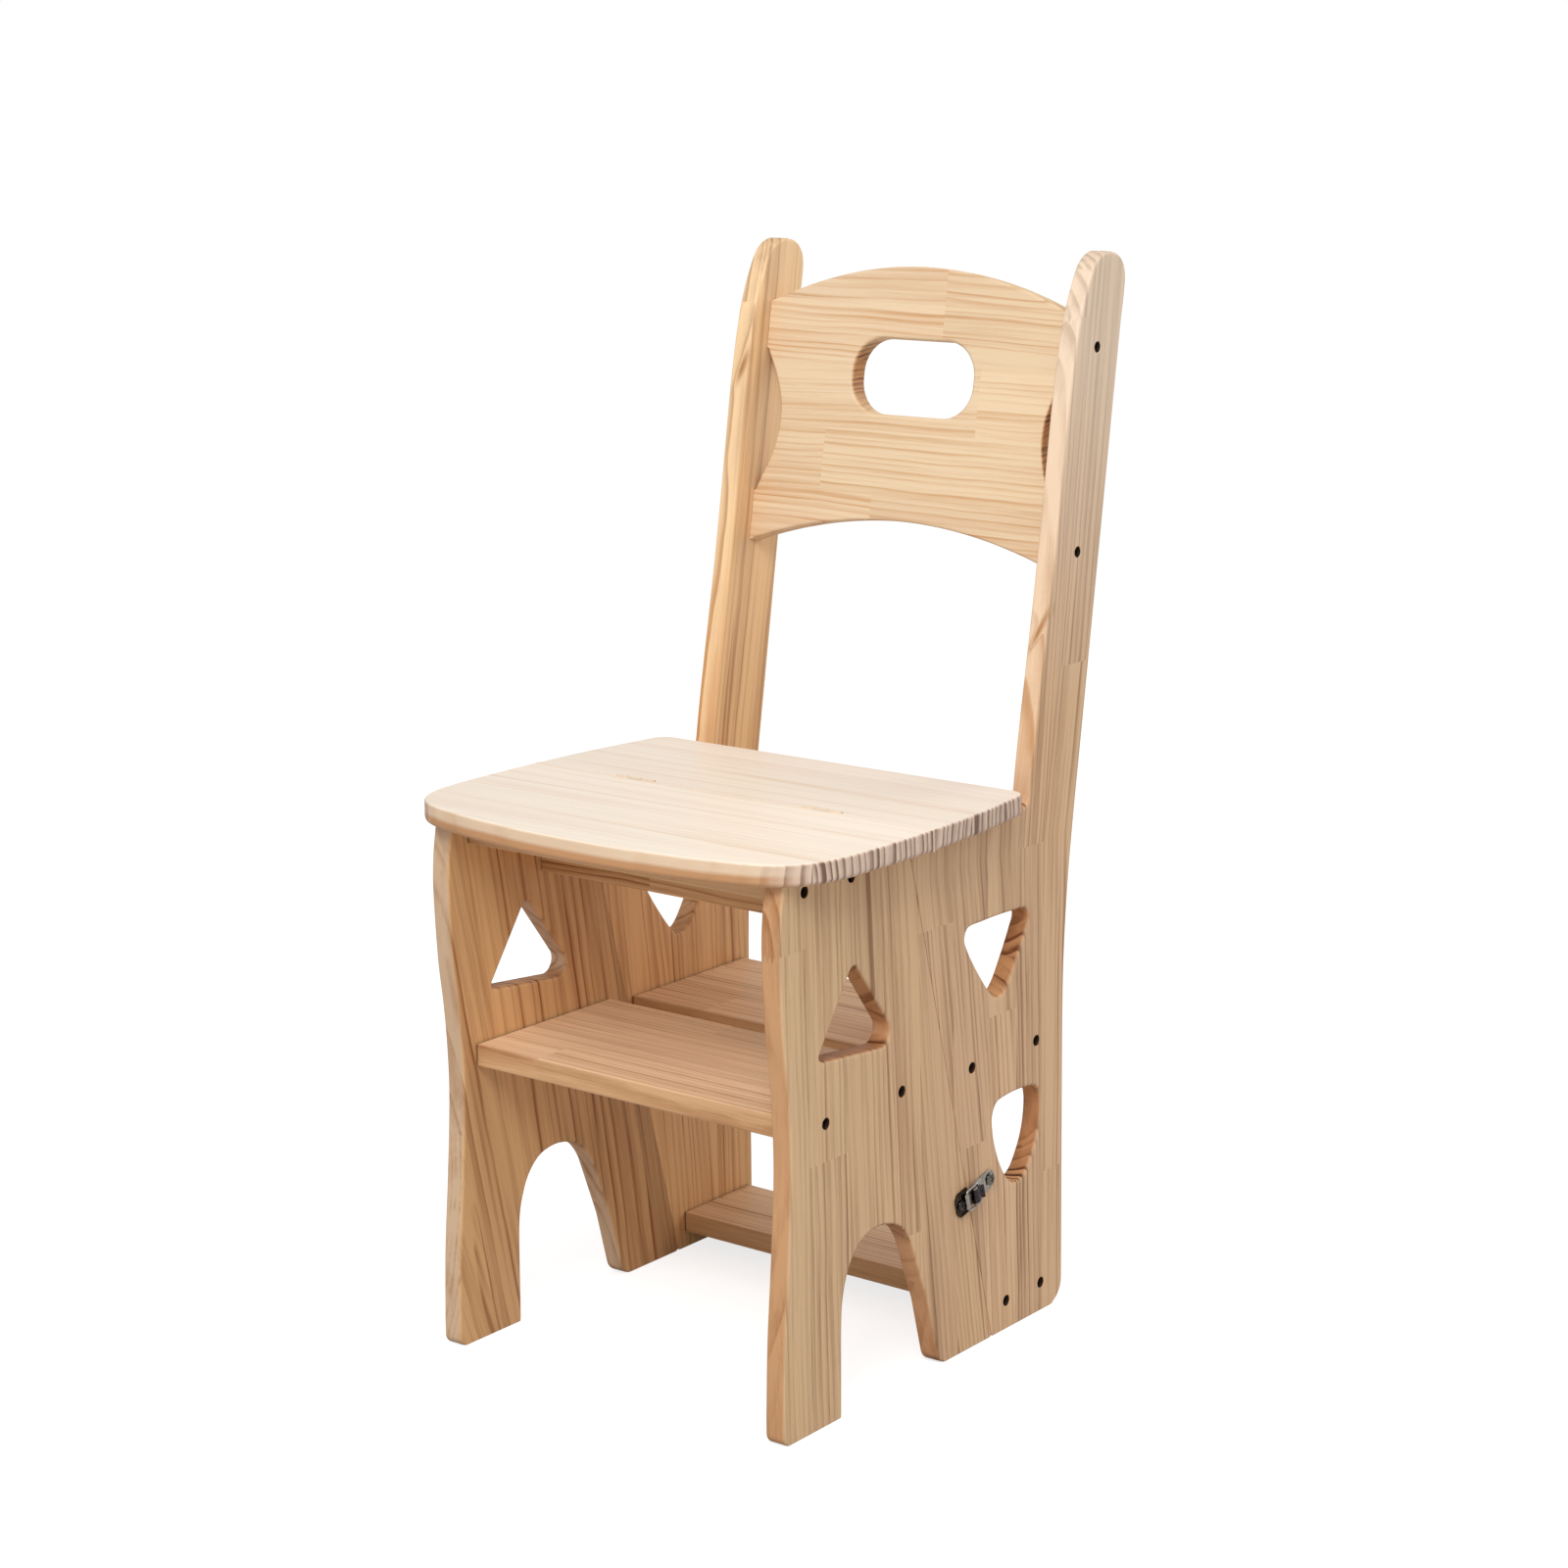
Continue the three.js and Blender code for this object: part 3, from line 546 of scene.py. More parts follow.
def pine(name, along, across, thick, strips, end, light, dark, end_light, end_dark, edge_light, edge_dark,
         lean=0.0, bend=None, contrast=1.0, edge=1.5, fibre=1.0, broad=1.0, length=420.0, rough=0.5, wave=3.0, spread=0.2, knots=(), mid=0.0, painted_light_rise=None, painted_under_shade=None, painted_low_edge_shade=None, corners=(), even=0.0):
    """Glued pine, worked out in the board's own axes. light and dark are the two colours of a growth ring on the faces,
    on the cut fibre ends and on the edges; lean and bend are the slope of the strips themselves; knots is [(along,
    across, thick, strength, size, narrowness, slope)], thick from the board's middle, which lies at mid; rise is (from,
    to, how much, colour), an upper part painted paler, as painted light; under is (from, to, how much, colour), a lower
    band on the edges painted darker, as painted shade; painted_low_edge_shade is (from, to, light, dark), deeper edge
    colours low down, as painted shade;
    corners is [(axis, from, to, how much)], painted shade in the corners where the board ends; even makes the rings on
    the cut ends alike."""
    g = Graph(name)
    tex = g.node("ShaderNodeTexCoord")
    p = [g.mul(c, 1000.0) for c in g.xyz(tex.outputs["Object"])]
    a, w0, t = p[along], p[across], g.sub(p[thick], mid)
    rows = strips + [strip(end, 0)]
    lo, hi = strips[0][0], end

    def place_of(v):
        return (v - lo) / (hi - lo)

    ws = g.mad(a, lean, w0)
    if bend:  # (height where the board starts to lean back, how much)
        ws = g.sub(ws, g.mul(g.m("MAXIMUM", g.sub(a, bend[0]), 0.0), bend[1]))
    at = g.m("DIVIDE", g.sub(ws, lo), hi - lo)
    one = g.rgb(g.ramp(at, [(place_of(r[0]), (r[1], r[2] / 2, r[3] / 10)) for r in strips], "CONSTANT"))
    two = g.rgb(g.ramp(at, [(place_of(r[0]), (place_of((r[0] + e[0]) / 2), r[4], (r[5] / length) % 1)) for r, e in zip(strips, rows[1:])], "CONSTANT"))
    three = g.rgb(g.ramp(at, [(place_of(r[0]), (r[6] + 0.5, r[7] / 3, r[8])) for r in strips], "CONSTANT"))
    seed, tone, spacing = one[0], g.mul(one[1], 2.0), g.mul(one[2], 10.0)
    centre, quarter, offset = g.mad(two[0], hi - lo, lo), two[1], g.mul(two[2], length)
    slope, force, heart = g.sub(three[0], 0.5), g.mul(three[1], 3.0), three[2]
    wander = g.mul(g.sub(g.noise(g.vec(g.mul(a, 0.0045), g.mul(ws, 0.006), strips[0][1] * 9.0), 1.0), 0.5), wave)
    w = g.add(g.mad(a, slope, ws), wander)
    finger = g.mul(g.m("PINGPONG", t, 2.2), 3.2)
    piece = g.m("FLOOR", g.m("DIVIDE", g.add(g.add(a, offset), finger), length))
    key = g.mad(seed, 173.31, g.mul(piece, 31.73))
    r1, r2, r3 = g.rgb(g.white(key))
    q1, q2, q3 = g.rgb(g.white(g.add(key, 5.77)))
    # distance from the middle of the tree
    angle = g.mul(g.m("ADD", quarter, g.mul(g.sub(r1, 0.5), spread)), math.pi / 2)
    reach = g.mad(r2, 90.0, 60.0)
    side = g.m("SIGN", g.sub(r3, 0.5))
    lw = g.add(g.sub(w, centre), g.mul(a, g.mul(g.sub(q1, 0.5), 0.03)))
    pw = g.add(lw, g.mul(side, g.mul(reach, g.m("SINE", angle))))
    pt = g.add(g.mad(a, 0.015, t), g.mul(reach, g.m("COSINE", angle)))
    wob = g.sub(g.noise(g.vec(g.mul(a, 0.005), g.mul(lw, 0.012), key), 2.0, 0.5), 0.5)
    wob2 = g.sub(g.noise(g.vec(g.mul(a, 0.018), g.mul(lw, 0.05), g.add(g.mul(t, 0.05), key)), 1.0), 0.5)
    radius = g.m("SQRT", g.add(g.mul(pw, pw), g.mul(pt, pt)))
    radius = g.add(radius, g.add(g.mul(wob, 8.0), g.mul(wob2, 1.8)))
    amber = None
    for ka, kw, kt, strength, size, narrow, tilt in knots:
        da, dw = g.m("DIVIDE", g.sub(a, ka), size * 1.7), g.m("DIVIDE", g.sub(w0, kw), size)
        dt = g.m("DIVIDE", g.mad(g.sub(a, ka), -tilt, g.sub(t, kt)), size * narrow)
        far = g.add(g.mul(da, da), g.add(g.mul(dw, dw), g.mul(dt, dt)))
        near = g.m("EXPONENT", g.mul(far, -1.0))
        radius = g.add(radius, g.mul(near, strength))
        amber = near if amber is None else g.m("MAXIMUM", amber, near)
    uneven = g.sub(g.noise(g.vec(g.mul(radius, 0.09), key, 0.5), 2.0, 0.6), 0.5)
    ring = g.add(g.m("DIVIDE", radius, spacing), g.mul(uneven, 2.2))
    f = g.m("FRACT", ring)
    which = g.rgb(g.white(g.add(g.m("FLOOR", ring), key)))
    late = g.rgb(g.ramp(f, [(0.0, 0.0), (0.22, 0.05), (0.55, 0.34), (0.76, 0.82), (0.87, 1.0), (0.95, 0.66), (1.0, 0.0)]))[0]
    fade = g.range(g.noise(g.vec(g.mul(a, 0.006), g.mul(lw, 0.16), g.add(key, 3.0)), 2.0, 0.6), 0.32, 0.66, 0.42, 1.12)
    alike = g.mul(late, 0.62 * even)
    late = g.mul(g.mul(late, g.mad(which[0], 0.85, 0.15)), fade)
    # fibres, resin ducts and slow changes of tone
    fine = g.sub(g.noise(g.vec(g.mul(a, 0.012), g.mul(w, 0.75), g.mul(t, 0.75)), 3.0, 0.62), 0.5)
    finer = g.sub(g.noise(g.vec(g.mul(a, 0.08), g.mul(w, 3.6), g.mul(t, 3.6)), 2.0, 0.6), 0.5)
    streak = g.sub(g.noise(g.vec(g.mul(a, 0.0025), g.mul(w, 0.11), g.add(g.mul(t, 0.06), key)), 2.0, 0.55), 0.5)
    slow = g.sub(g.noise(g.vec(g.mul(a, 0.004), g.mul(w, 0.028), g.add(key, 1.0)), 1.0), 0.5)
    duct = g.m("GREATER_THAN", g.noise(g.vec(g.mul(a, 0.05), g.mul(w, 1.15), g.mul(t, 1.15)), 0.0), 0.82)
    nx = g.xyz(tex.outputs["Normal"])
    flat = g.range(g.m("ABSOLUTE", nx[thick]), 0.35, 0.85)
    cut = g.range(g.m("ABSOLUTE", nx[along]), 0.30, 0.90)
    gain = g.mul(force, g.mad(flat, contrast - edge, edge))
    shade = g.add(g.mul(late, gain), g.mul(g.add(g.mul(fine, 0.62), g.mul(finer, 0.30)), fibre))
    shade = g.add(shade, g.mul(g.add(g.mul(streak, 1.15), g.mul(slow, 0.55)), broad))
    shade = g.m("ADD", g.mul(duct, 0.10 * fibre), g.add(shade, 0.04), clamp=True)
    face = g.mix(shade, light, dark)
    rim = g.mix(shade, edge_light, edge_dark)
    # painted shade: the edge colours are painted deeper low down on the board
    if painted_low_edge_shade:
        rim = g.mix(g.range(a, painted_low_edge_shade[0], painted_low_edge_shade[1], 1.0, 0.0), rim, g.mix(shade, painted_low_edge_shade[2], painted_low_edge_shade[3]))
    colour = g.mix(flat, rim, face)
    # painted shade: the lower band of the edges, where the rounding turns down, is painted darker towards the under
    # colour
    if painted_under_shade:
        band = g.mul(g.range(g.add(t, g.mul(streak, 3.0)), painted_under_shade[0], painted_under_shade[1], 0.0, painted_under_shade[2]), g.range(t, -8.98, -8.6, 0.0, 1.0))
        colour = g.mix(band, colour, g.mix(shade, painted_under_shade[3], tuple(c * 0.72 for c in painted_under_shade[3])))
    # the cut ends of the fibres
    pores = g.sub(g.noise(g.vec(g.mul(a, 0.4), g.mul(w, 2.2), g.mul(t, 2.2)), 2.0, 0.7), 0.5)
    end_shade = g.m("ADD", g.mad(late, 1.75 * (1 - even), g.mul(alike, 1.75)), g.mad(pores, 0.5, g.mad(streak, 0.5, 0.02)), clamp=True)
    colour = g.mix(cut, colour, g.mix(end_shade, end_light, end_dark))
    # tone of the strip and of each length in it
    value = g.mul(tone, g.mad(g.sub(q2, 0.5), 0.07, 1.0))
    colour = g.mix(1.0, colour, g.vec(value, value, value), "MULTIPLY")
    rose = g.m("ADD", heart, g.add(g.mul(slow, 0.9), g.mul(g.sub(q3, 0.5), 0.25)), clamp=True)
    colour = g.mix(1.0, colour, g.mix(rose, (1.01, 1.0, 0.95), (0.99, 0.935, 0.91)), "MULTIPLY")
    # painted light: the upper part of the board is painted paler, towards the rise colour, for the light falling on it
    if painted_light_rise:
        colour = g.mix(g.range(g.add(a, g.mul(streak, 90.0)), painted_light_rise[0], painted_light_rise[1], 0.0, painted_light_rise[2]), colour, g.mix(shade, painted_light_rise[3], tuple(c * (painted_light_rise[4] if len(painted_light_rise) > 4 else 0.80) for c in painted_light_rise[3])))
    if amber is not None:
        colour = g.mix(g.mul(amber, 0.85), colour, (0.40, 0.17, 0.045))
    # painted shade: near the board's ends, or along a given edge, the colour is darkened towards dark brown for the
    # shade between it and the next part
    for axis, start, stop, much in corners:
        far = g.m("ABSOLUTE", p[axis]) if start > 0 and stop > 0 and axis == along else p[axis]
        colour = g.mix(g.range(g.add(far, g.mul(streak, 0.5)), start, stop, 0.0, much), colour, (0.10, 0.045, 0.018))
    g.put(g.bsdf.inputs["Base Color"], colour)
    g.put(g.bsdf.inputs["Roughness"], g.add(g.mul(fine, 0.16), g.mad(late, -0.06, rough)))
    g.bsdf.inputs["Specular IOR Level"].default_value = 0.35
    relief = g.add(g.mul(late, 0.5), g.mul(g.add(fine, finer), 0.6))
    g.put(g.bsdf.inputs["Normal"], g.bump(relief, 0.22, 0.00035))
    return g.material


def metal(name, colour, rough, scratch=0.06, dirt=0.25, metallic=1.0, cloudy=260.0):
    g = Graph(name)
    tex = g.node("ShaderNodeTexCoord")
    p = tex.outputs["Object"]
    cloud = g.noise(p, 4.0, 0.6, cloudy)
    brushed = g.noise(g.vec(*[g.mul(c, s) for c, s in zip(g.xyz(p), (400.0, 2600.0, 2600.0))]), 3.0, 0.6)
    dark = tuple(c * (1 - dirt) for c in colour)
    g.put(g.bsdf.inputs["Base Color"], g.mix(g.range(cloud, 0.35, 0.7), colour, dark))
    g.bsdf.inputs["Metallic"].default_value = metallic
    g.put(g.bsdf.inputs["Roughness"], g.add(rough, g.add(g.mul(g.sub(cloud, 0.5), 0.25), g.mul(g.sub(brushed, 0.5), scratch))))
    g.put(g.bsdf.inputs["Normal"], g.bump(brushed, 0.08, 0.0001))
    return g.material


# ------------------------------------------------------------------ wood
TAN = dict(light=srgb(226, 191, 154), dark=srgb(156, 116, 81), end_light=srgb(220, 168, 118), end_dark=srgb(92, 54, 30),
           edge_light=srgb(238, 210, 178), edge_dark=srgb(204, 158, 114))
# painted shade: the front right panel's edge colours are painted darker than TAN's, for the shade on the legs' front
# edges
TAN_FRONT = dict(TAN, light=srgb(221, 187, 149), dark=srgb(153, 114, 79), end_light=srgb(172, 120, 78), end_dark=srgb(96, 56, 32), edge_light=srgb(206, 158, 116), edge_dark=srgb(160, 104, 60))
# painted shade: DEEP is the same pine as TAN in a deeper, more orange palette, for the warm shade on the left panels'
# inner faces and on the apron
DEEP = dict(light=srgb(228, 184, 134), dark=srgb(160, 102, 56), end_light=srgb(202, 150, 102), end_dark=srgb(116, 70, 40),
            edge_light=srgb(240, 204, 160), edge_dark=srgb(196, 142, 90))
# painted shade: the front left panel's edge colours are painted darker than DEEP's, for the shade on the legs' front
# edges
DEEP_FRONT = dict(DEEP, edge_light=srgb(214, 184, 154), edge_dark=srgb(172, 128, 90))
HONEY = dict(light=srgb(234, 210, 179), dark=srgb(201, 149, 98), end_light=srgb(194, 142, 96), end_dark=srgb(104, 62, 38),
             edge_light=srgb(238, 210, 172), edge_dark=srgb(194, 142, 92))
CREAM = dict(light=srgb(244, 233, 222), dark=srgb(226, 202, 178), end_light=srgb(227, 203, 187), end_dark=srgb(124, 96, 82),
             edge_light=srgb(232, 206, 180), edge_dark=srgb(206, 162, 120))
STEP = dict(light=srgb(238, 205, 170), dark=srgb(184, 138, 98), end_light=srgb(200, 148, 100), end_dark=srgb(112, 68, 38),
            edge_light=srgb(220, 178, 134), edge_dark=srgb(166, 112, 68))
# PAINTED_LIGHT_PALE is the colour of the painted light on the upper rear right post
PAINTED_LIGHT_PALE = srgb(240, 218, 194)

W_PANEL_FR = pine("pine_front_right", 1, 0, 2, [
    strip(-12, .13, 0.99, 5.4, .90, 40, 0.00, 1.00, .10), strip(36, .37, 1.01, 6.2, .84, 210, 0.015, .85, .25),
    strip(84, .52, 0.97, 7.4, .72, 130, 0.03, 1.15, .45), strip(128, .71, 1.00, 5.6, .86, 300, 0.055, .95, .70),
    strip(176, .29, 0.97, 6.4, .80, 60, 0.09, 1.05, .85), strip(222, .88, 0.98, 5.2, .90, 170, 0.12, 1.1, .80)], 275, lean=0.02, contrast=0.9, edge=0.85, fibre=1.6,
    mid=166.0, **TAN_FRONT)
W_PANEL_FL = pine("pine_front_left", 1, 0, 2, [
    strip(-12, .23, 1.00, 5.2, .42, 500, 0.16, 0.9, .30), strip(40, .47, 0.96, 8.0, .68, 500, 0.02, 1.2, .55),
    strip(92, .62, 1.01, 6.0, .84, 500, 0.0, 1.0, .35), strip(140, .81, 0.97, 7.2, .74, 500, -0.01, 1.15, .60),
    strip(190, .19, 0.94, 8.4, .62, 500, 0.0, 1.2, .50), strip(242, .58, 0.86, 6.2, .8, 500, 0.0, 1.0, .60),
    strip(292, .33, 0.88, 6.2, .8, 500, 0.0, 1.0, .40)], 345, lean=0.19, length=1000.0, fibre=1.2, contrast=0.92, edge=0.85, broad=1.35, mid=-166.0, **DEEP_FRONT)
W_PANEL_RR = pine("pine_rear_right", 1, 0, 2, [
    strip(130, .37, 0.98, 6.0, .84, 60, 0.14, 1.0, .80), strip(216, .55, 0.97, 5.2, .88, 250, 0.13, 1.1, .95),
    strip(262, .74, 1.01, 6.8, .76, 150, 0.07, .9, .55), strip(304, .16, 0.96, 5.6, .86, 20, 0.02, 1.2, .75),
    strip(340, .92, 0.99, 6.6, .78, 300, 0.0, 1.1, .60)], 400, bend=(400.0, 0.148), contrast=0.88, edge=1.1, broad=1.35, fibre=1.6,
    # painted light: rise pales the upper post of this panel
    knots=[(571, 346, 1, 6.5, 10.0, 0.26, 0.42)], mid=166.0, painted_light_rise=(500.0, 800.0, 0.78, PAINTED_LIGHT_PALE, 0.74),
    # painted shade: painted_low_edge_shade deepens this panel's edge colours low down
    painted_low_edge_shade=(380.0, 470.0, srgb(208, 152, 106), srgb(146, 90, 50)), **TAN)
W_PANEL_RL = pine("pine_rear_left", 1, 0, 2, [
    # painted light: these strips' tones are raised to brighten faces that sit in shade
    strip(130, .53, 1.08, 6.2, .78, 50, 0.05, 1.1, .45), strip(232, .28, 1.12, 7.0, .7, 50, 0.03, 1.0, .35),
    strip(280, .67, 1.10, 5.4, .84, 50, 0.0, 1.1, .45), strip(322, .86, 1.12, 6.4, .76, 50, -0.03, 0.9, .35),
    strip(364, .41, 1.08, 5.6, .8, 50, -0.05, 1.0, .45)], 430, lean=0.07, length=1000.0, fibre=1.2, bend=(400.0, 0.20), contrast=0.85, edge=1.5, broad=1.2,
    # painted light: rise pales the upper post of this panel
    knots=[(762, 378, 3, 4.0, 8.0, 0.4, 0.3)], mid=-166.0, painted_light_rise=(430.0, 700.0, 0.62, srgb(249, 216, 172), 0.62), **DEEP)
# painted shade on the lower rounding of the seat boards' edges
SEAT_UNDER_SHADE = (1.5, -1.8, 0.9, srgb(196, 142, 96))
W_SEAT_F = pine("pine_seat_front", 0, 1, 2, [
    strip(-42, .61, 1.00, 7.6, .98, 500, 0.0, 1, .25), strip(14, .34, 1.005, 6.8, .96, 500, 0.006, 1, .15),
    strip(66, .78, 0.995, 8.6, .99, 500, -0.004, 1, .3), strip(112, .22, 1.0, 7.2, .97, 500, 0.0, 1, .2)], 160,
    contrast=0.68, edge=0.5, fibre=0.42, broad=0.6, length=1000.0, rough=0.42, spread=0.06, mid=441.0, painted_under_shade=SEAT_UNDER_SHADE, even=0.7, **CREAM)
W_SEAT_R = pine("pine_seat_rear", 0, 1, 2, [
    strip(145, .67, 1.00, 7.0, .97, 500, 0.0, 1, .2), strip(204, .44, 0.995, 8.2, .99, 500, 0.005, 1, .3),
    strip(256, .83, 1.0, 7.4, .96, 500, 0.0, 1, .4)], 305,
    contrast=0.68, edge=0.5, fibre=0.42, broad=0.7, length=1000.0, rough=0.42, spread=0.06, mid=441.0, painted_under_shade=SEAT_UNDER_SHADE, even=0.7, **CREAM)
# painted shade where the treads' ends meet the side panels
STEP_END_SHADE = (0, 154.6, 155.8, 0.85)
STEP_LOOK = dict(contrast=1.15, edge=1.1, broad=0.9, fibre=1.7, corners=[STEP_END_SHADE])
W_TREADS = {
    "top_tread": pine("pine_top_tread", 0, 1, 2, [
        strip(10, .71, 0.93, 5.0, .86, 40, 0.006, .8, .45), strip(62, .26, 0.92, 4.6, .90, 190, -0.004, .7, .55)], 110, mid=422.55, **STEP_LOOK, **STEP),
    "mid_tread_front": pine("pine_mid_tread_front", 0, 1, 2, [
        strip(14, .31, 1.02, 5.0, .88, 90, 0.006, .8, .40), strip(60, .86, 1.01, 4.4, .91, 290, -0.004, .7, .50),
        strip(104, .48, 1.03, 5.4, .85, 180, 0.0, .75, .4), strip(148, .91, 1.02, 5.0, .88, 20, 0.004, .8, .5)], 190, mid=239.0, **STEP_LOOK, **STEP),
    "mid_tread_rear": pine("pine_mid_tread_rear", 0, 1, 2, [
        # painted light: these strips' tones are raised to brighten a tread that sits in shade
        strip(204, .15, 1.17, 5.6, .84, 80, 0.0, 1.1, .5), strip(262, .66, 1.11, 5.0, .88, 220, 0.003, 1.1, .5),
        # painted shadow: a dark band along the rear tread's front edge, in the gap behind the mid tread
        strip(314, .36, 1.13, 5.4, .84, 150, 0.0, 1.0, .4)], 370, mid=234.0, **dict(STEP_LOOK, corners=[STEP_END_SHADE, (1, 222.0, 215.0, 0.22)]), **STEP),
    "bottom_tread": pine("pine_bottom_tread", 0, 1, 2, [
        strip(270, .57, 0.98, 5.0, .86, 220, 0.003, 1.0, .5), strip(322, .92, 0.99, 5.6, .82, 150, 0.0, .9, .5)], 372, mid=24.0, **STEP_LOOK, **STEP),
}
W_APRON = pine("pine_apron", 0, 1, 2, [
    strip(360, .73, 0.90, 4.4, .8, 40, 0.0, 1, .5), strip(402, .24, 0.92, 4.8, .85, 190, 0.004, 1, .4)], 440, contrast=0.9, mid=-113.3, **DEEP)
W_BACK = pine("pine_backrest", 0, 1, 2, [
    strip(-30, .31, 0.985, 5.6, .78, 30, 0.012, .95, .15), strip(30, .47, 1.0, 4.8, .84, 85, 0.0, .8, .05),
    strip(84, .63, 1.005, 4.4, .88, 330, -0.006, .7, .10), strip(140, .22, 0.965, 5.4, .74, 372, 0.014, 1.15, .25),
    strip(192, .81, 0.955, 6.2, .64, 372, 0.02, 1.0, .5)], 232, contrast=0.9, edge=0.8, broad=0.9, length=400.0, wave=5.0, **HONEY)


def painted_bore_shade(name):
    """The wall of a drilled hole, painted near black: painted shade inside the bore."""
    g = Graph(name)
    tex = g.node("ShaderNodeTexCoord")
    cloud = g.noise(tex.outputs["Object"], 3.0, 0.6, 900.0)
    g.put(g.bsdf.inputs["Base Color"], g.mix(g.range(cloud, 0.3, 0.7), (0.055, 0.028, 0.014), (0.018, 0.010, 0.006)))
    g.put(g.bsdf.inputs["Roughness"], g.mad(cloud, 0.2, 0.7))
    return g.material


W_BORE = painted_bore_shade("drilled_wood")

FRONT_SCREWS = [(28, 422.55), (85, 422.55), (52, 239), (148, 239)]
REAR_SCREWS = [(242, 234), (333, 234), (291, 24), (341, 24)] + [(BACK[0] + s * math.sin(LEAN), BACK[1] + s * math.cos(LEAN)) for s in (0, 166)]


BORE_R = 4.5


def near_seam(y, z):
    return abs(y - seam(z)) / math.hypot(1, SLOPE) < 1.6


def panel_round(y, z):
    """Edge rounding of the side panels: nearly none where they meet the other half, the seat or the floor."""
    if near_seam(y, z):
        return 0.35
    if z > PANEL_TOP - 0.5 and y < 312:
        return 0.4
    if z < 0.5:
        return 0.8
    return 2.6


FRONT_OUT, REAR_OUT = front_outline(), rear_outline()


def soften(outline, rule):
    """The rounding at each point, blended along the outline so that it never jumps."""
    r = np.array([rule(*p) for p in outline])
    for _ in range(3):
        r = np.minimum(r, (np.roll(r, 1) + np.roll(r, -1) + r) / 3 + 0.15)
    table = {(round(p[0], 3), round(p[1], 3)): x for p, x in zip(outline, r)}
    return lambda y, z: table[(round(y, 3), round(z, 3))]


for side, body_f, x0, x1, up, wf, wr in (("right", "front_frame", INNER, HALF_WIDTH, True, W_PANEL_FR, W_PANEL_RR), ("left", "front_frame", -HALF_WIDTH, -INNER, False, W_PANEL_FL, W_PANEL_RL)):
    bores = [(y, z, BORE_R, 7.0) for y, z in FRONT_SCREWS]
    m = board(FRONT_OUT, [(FRONT_WINDOW, 3.0)], x0, x1, soften(FRONT_OUT, panel_round), bores, up).mesh(f"front_{side}")
    place(f"side_panel_front_{side}_wood", m, SIDE, "front_frame", [f"side_panel_front_{side}"], [wf, W_BORE])
    bores = [(y, z, BORE_R, 7.0) for y, z in REAR_SCREWS]
    m = board(REAR_OUT, [(REAR_WINDOW_HIGH, 3.0), (REAR_WINDOW_LOW, 3.0)], x0, x1, soften(REAR_OUT, panel_round), bores, up).mesh(f"rear_{side}")
    place(f"side_panel_rear_{side}_wood", m, SIDE, "rear_frame", [f"side_panel_rear_{side}"], [wr, W_BORE])


def seat_round(x, y):
    return 0.3 if abs(y - HINGE_Y) < 0.6 else 2.2


def seat_round_low(x, y):
    return 0.3 if abs(y - HINGE_Y) < 0.6 else 4.6


def box_mesh(x0, x1, y0, y1, z0, z1):
    bm = bmesh.new()
    bmesh.ops.create_cube(bm, size=1)
    for v in bm.verts:
        v.co = Vector(((x0 + x1) / 2 + v.co.x * (x1 - x0), (y0 + y1) / 2 + v.co.y * (y1 - y0), (z0 + z1) / 2 + v.co.z * (z1 - z0))) / 1000
    m = bpy.data.meshes.new("box")
    bm.to_mesh(m)
    bm.free()
    return m


def carve(mesh, cutters):
    """mesh with the cutters' volumes taken out of it."""
    o = bpy.data.objects.new("carved", mesh)
    bpy.context.scene.collection.objects.link(o)
    others = []
    for c in cutters:
        k = bpy.data.objects.new("cutter", c)
        bpy.context.scene.collection.objects.link(k)
        others.append(k)
        b = o.modifiers.new("cut", "BOOLEAN")
        b.operation, b.solver, b.object = "DIFFERENCE", "EXACT", k
    bpy.context.view_layer.update()
    made = bpy.data.meshes.new_from_object(o.evaluated_get(bpy.context.evaluated_depsgraph_get()))
    for k in [o, *others]:
        bpy.data.objects.remove(k)
    made.polygons.foreach_set("use_smooth", [True] * len(made.polygons))
    made.set_sharp_from_angle(angle=math.radians(32))
    return made


POCKETS_F = [box_mesh(x - 20.1, x + 20.1, HINGE_Y - 1.66, HINGE_Y + 1, 434.2, 452) for x in (-95, 95)]
POCKETS_R = [box_mesh(x - 20.1, x + 20.1, HINGE_Y - 1, HINGE_Y + 1.66, 434.2, 452) for x in (-95, 95)]
SF, SR = seat_front_outline(), seat_rear_outline()
m = board(SF, [], SEAT_UNDER, SEAT_TOP, soften(SF, seat_round), steps=6, low=soften(SF, seat_round_low)).mesh("seat_front")
place("seat_board_front_wood", carve(m, POCKETS_F), FLAT, "front_frame", ["seat_board_front"], W_SEAT_F)
m = board(SR, [], SEAT_UNDER, SEAT_TOP, soften(SR, seat_round), steps=6, low=soften(SR, seat_round_low)).mesh("seat_rear")
place("seat_board_rear_wood", carve(m, POCKETS_R), FLAT, "rear_frame", ["seat_board_rear"], W_SEAT_R)


TREAD_SPAN = INNER - 0.6


def slab(x0, x1, v0, v1):
    return tidy([np.array(q, float) for q in ((x0, v0), (x1, v0), (x1, v1), (x0, v1))], 20)


def end_tight(x, v):
    return 0.9 if abs(abs(x) - TREAD_SPAN) < 0.5 else 1.5


